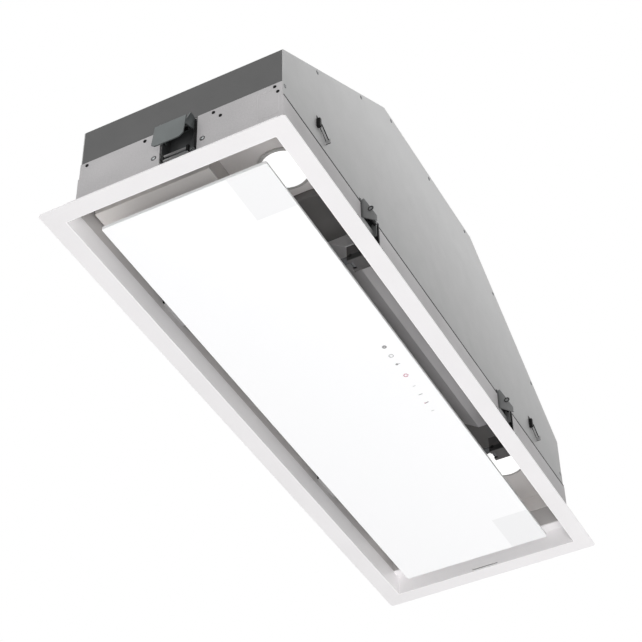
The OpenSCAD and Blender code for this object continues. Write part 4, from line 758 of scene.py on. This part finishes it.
FLOOR_LOW, FLOOR_TOP, LIP_TOP = 34.2, 34.95, 36.6
FLOOR_FRONT, LIP_FRONT, LIP_BACK = 112.5, 98.4, 97.6
profile = [(FLOOR_FRONT, FLOOR_LOW), (LIP_BACK, FLOOR_LOW), (LIP_BACK, LIP_TOP),
           (LIP_FRONT, LIP_TOP), (LIP_FRONT, FLOOR_TOP), (FLOOR_FRONT, FLOOR_TOP)]
pockets = [(x - POCKET_HALF, x + POCKET_HALF) for x in CLAMP_X]
for side, s in (("front", -1), ("rear", 1)):
    drawn("pocket_floor_" + side, [(s * y, z) for y, z in profile], pockets, "hood", "skirt_grey")
print("pocket floors", 2 * len(pockets))

# %% [markdown]
# Above each strap the punched slot is open, and a thin black block on the panel is painted shade
# for the dark inside it. A small black clip grips its left edge, a thick block with rounder edges.

# %% Clips and slots at the tabs
clip = [(-116.2, 93.0), (-116.2, 104.5), (-112.0, 104.5), (-112.0, 93.0)]
slot_shade = [(-112.5, 98.5), (-112.5, 109.5), (-112.1, 109.5), (-112.1, 98.5)]
for name, x in zip(("left", "right"), TAB_X):
    drawn("tab_clip_" + name, clip, [(x - 5.6, x - 2.2)], "hood", "screw_black", bevel=0.4)
    # the thin black plate is painted shade in the open slot
    drawn("tab_slot_" + name, slot_shade, [(x - 5.2, x + 5.2)], "hood", "screw_black")
print("tab slots and clips", 2 * len(TAB_X))

# %% [markdown]
# The touch keys are thin marks printed on the glass: a lamp, a clock, a filter drop, the power
# key in red, and strokes for the fan's speeds. Each is flat faces a twentieth of a millimetre
# below the glass, facing down. Arcs and bars are enough for all of them.

# %% Marks of the touch keys
def printed(name, shapes, colour):
    """Flat marks below the glass, each a list of outlines (x, y) in mm, in one printed colour."""
    made = bmesh.new()
    for outline in shapes:
        made.faces.new([made.verts.new((x * MM, y * MM, -0.05 * MM)) for x, y in outline])
    for face in made.faces:
        if face.normal.z > 0:
            face.normal_flip()
    mesh = bpy.data.meshes.new(name)
    made.to_mesh(mesh)
    made.free()
    ink, tree, shader, place = finish(name, 0.3)
    light = "#%02x%02x%02x" % tuple(min(255, int(colour[i:i + 2], 16) + 14) for i in (1, 3, 5))
    tree.links.new(tone(tree, grain(tree, place, 0.6), colour, light), shader.inputs["Base Color"])
    mesh.materials.append(ink)
    piece = bpy.data.objects.new(name, mesh)
    bpy.context.scene.collection.objects.link(piece)
    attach(piece, "panel")


def arc(x, y, inner, outer, start=0, end=360, steps=20):
    """An arc of a ring as a row of small outlines; start and end in degrees."""
    turns = [math.radians(start + (end - start) * k / steps) for k in range(steps + 1)]
    spots = [[(x + r * math.cos(t), y + r * math.sin(t)) for t in turns] for r in (inner, outer)]
    return [[spots[0][k], spots[0][k + 1], spots[1][k + 1], spots[1][k]] for k in range(steps)]


def stroke(x, y, long, wide, lean=0.0):
    """A bar along Y about (x, y), its far end moved by lean along X."""
    a, b = wide / 2, long / 2
    return [[(x - a - lean, y - b), (x + a - lean, y - b), (x + a + lean, y + b), (x - a + lean, y + b)]]


KEY_Y = -71.0
LAMP_KEY, CLOCK_KEY, FILTER_KEY, POWER_KEY, FAST_KEY = -54.1, -38.6, -23.9, -3.9, 46.2
grey_marks = arc(LAMP_KEY, KEY_Y, 0.5, 2.5) + arc(CLOCK_KEY, KEY_Y, 1.9, 2.6)
grey_marks += stroke(CLOCK_KEY, KEY_Y + 0.6, 1.6, 0.5) + arc(FILTER_KEY, KEY_Y + 0.6, 0.05, 1.5)
grey_marks += stroke(FILTER_KEY, KEY_Y - 1.8, 2.4, 0.6, -0.3) + stroke(31.0, KEY_Y, 4.6, 0.9)
red_marks = arc(POWER_KEY, KEY_Y, 1.7, 2.6, -60, 240) + stroke(POWER_KEY, KEY_Y - 1.9, 2.4, 0.7)
printed("grey_key_marks", grey_marks, "#8e8e8e")
printed("red_key_marks", red_marks + arc(FAST_KEY, KEY_Y + 1.9, 0.05, 0.8), "#b4587a")
printed("dark_key_mark", stroke(FAST_KEY, KEY_Y, 4.4, 1.1, 0.5), "#7b6d72")
printed("pale_key_marks", stroke(15.6, KEY_Y, 3.2, 0.9) + stroke(61.2, KEY_Y, 3.4, 0.9), "#b9b9b9")
print("outlines of the key marks", len(grey_marks) + len(red_marks))

# %% [markdown]
# The light is a plain studio: an even white surround and six wide soft lamps, three below the
# hood and three above. The surround is full white to the eye and in reflections, and dimmer as a
# light, so that the lamps still shape the hood.

# %% Light
SURROUND = 0.38  # strength of the surround as light, next to 1 where it is seen
scene = bpy.context.scene
scene.view_settings.view_transform = "Standard"
world = bpy.data.worlds.new("studio")
scene.world = world
world.use_nodes = True
tree = world.node_tree
rays = add(tree, "ShaderNodeLightPath").outputs
seen = rays["Is Camera Ray"]
for kind in ("Is Glossy Ray", "Is Transmission Ray"):
    seen = add(tree, "ShaderNodeMath", {"operation": "MAXIMUM"}, (seen, rays[kind]))
strength = add(tree, "ShaderNodeMapRange", values=(seen, 0.0, 1.0, SURROUND, 1.0))
background = tree.nodes["Background"]
background.inputs["Color"].default_value = (1, 1, 1, 1)
tree.links.new(strength.outputs[0], background.inputs["Strength"])

LAMPS = {  # power in watts, width in metres, and place
    "low_left": (35.0, 1.4, (-1.91, -0.98, -1.95)), "low_right": (26.0, 1.6, (1.91, -0.98, -1.95)),
    "low_front": (9.0, 1.6, (0.0, -1.6, -1.9)), "front_high": (10.0, 2.0, (0.0, -1.6, 1.3)),
    "left_high": (21.0, 1.6, (-2.4, 0.5, 0.9)), "back_high": (40.0, 2.0, (1.6, 1.9, 1.6)),
}
MIDDLE = Vector((0, 0, 0.1))
for name, (power, width, place) in LAMPS.items():
    light = bpy.data.lights.new(name, "AREA")
    light.energy = power
    light.size = width
    lamp = bpy.data.objects.new(name, light)
    scene.collection.objects.link(lamp)
    lamp.location = place
    lamp.rotation_euler = (MIDDLE - Vector(place)).to_track_quat("-Z", "Y").to_euler()
print("lamps", len(LAMPS), "together", sum(row[0] for row in LAMPS.values()), "W")

# %% [markdown]
# The floor lies far below, as the hood hangs from a ceiling cabinet. To the camera it is partly
# white of its own, which joins it to the background, and the rest of it still takes a shadow.

# %% Floor
REACH, FLOOR_Z = 12.0, -2.6
OWN_WHITE = 0.6
floor_mesh = bpy.data.meshes.new("floor")
corners = [(x * REACH, y * REACH, FLOOR_Z) for x, y in ((-1, -1), (1, -1), (1, 1), (-1, 1))]
floor_mesh.from_pydata(corners, [], [(0, 1, 2, 3)])
floor = bpy.data.objects.new("floor", floor_mesh)
scene.collection.objects.link(floor)
material, tree, shader, place = finish("floor_pale", 0.9)
shader.inputs["Base Color"].default_value = (0.85, 0.85, 0.85, 1)
rays = add(tree, "ShaderNodeLightPath").outputs
share = add(tree, "ShaderNodeMath", PRODUCT, (rays["Is Camera Ray"], OWN_WHITE))
glow = add(tree, "ShaderNodeEmission", Strength=1.0)
mix = add(tree, "ShaderNodeMixShader", values=(share, shader, glow))
tree.links.new(mix.outputs[0], tree.nodes["Material Output"].inputs["Surface"])
floor_mesh.materials.append(material)
print("floor at", FLOOR_Z)
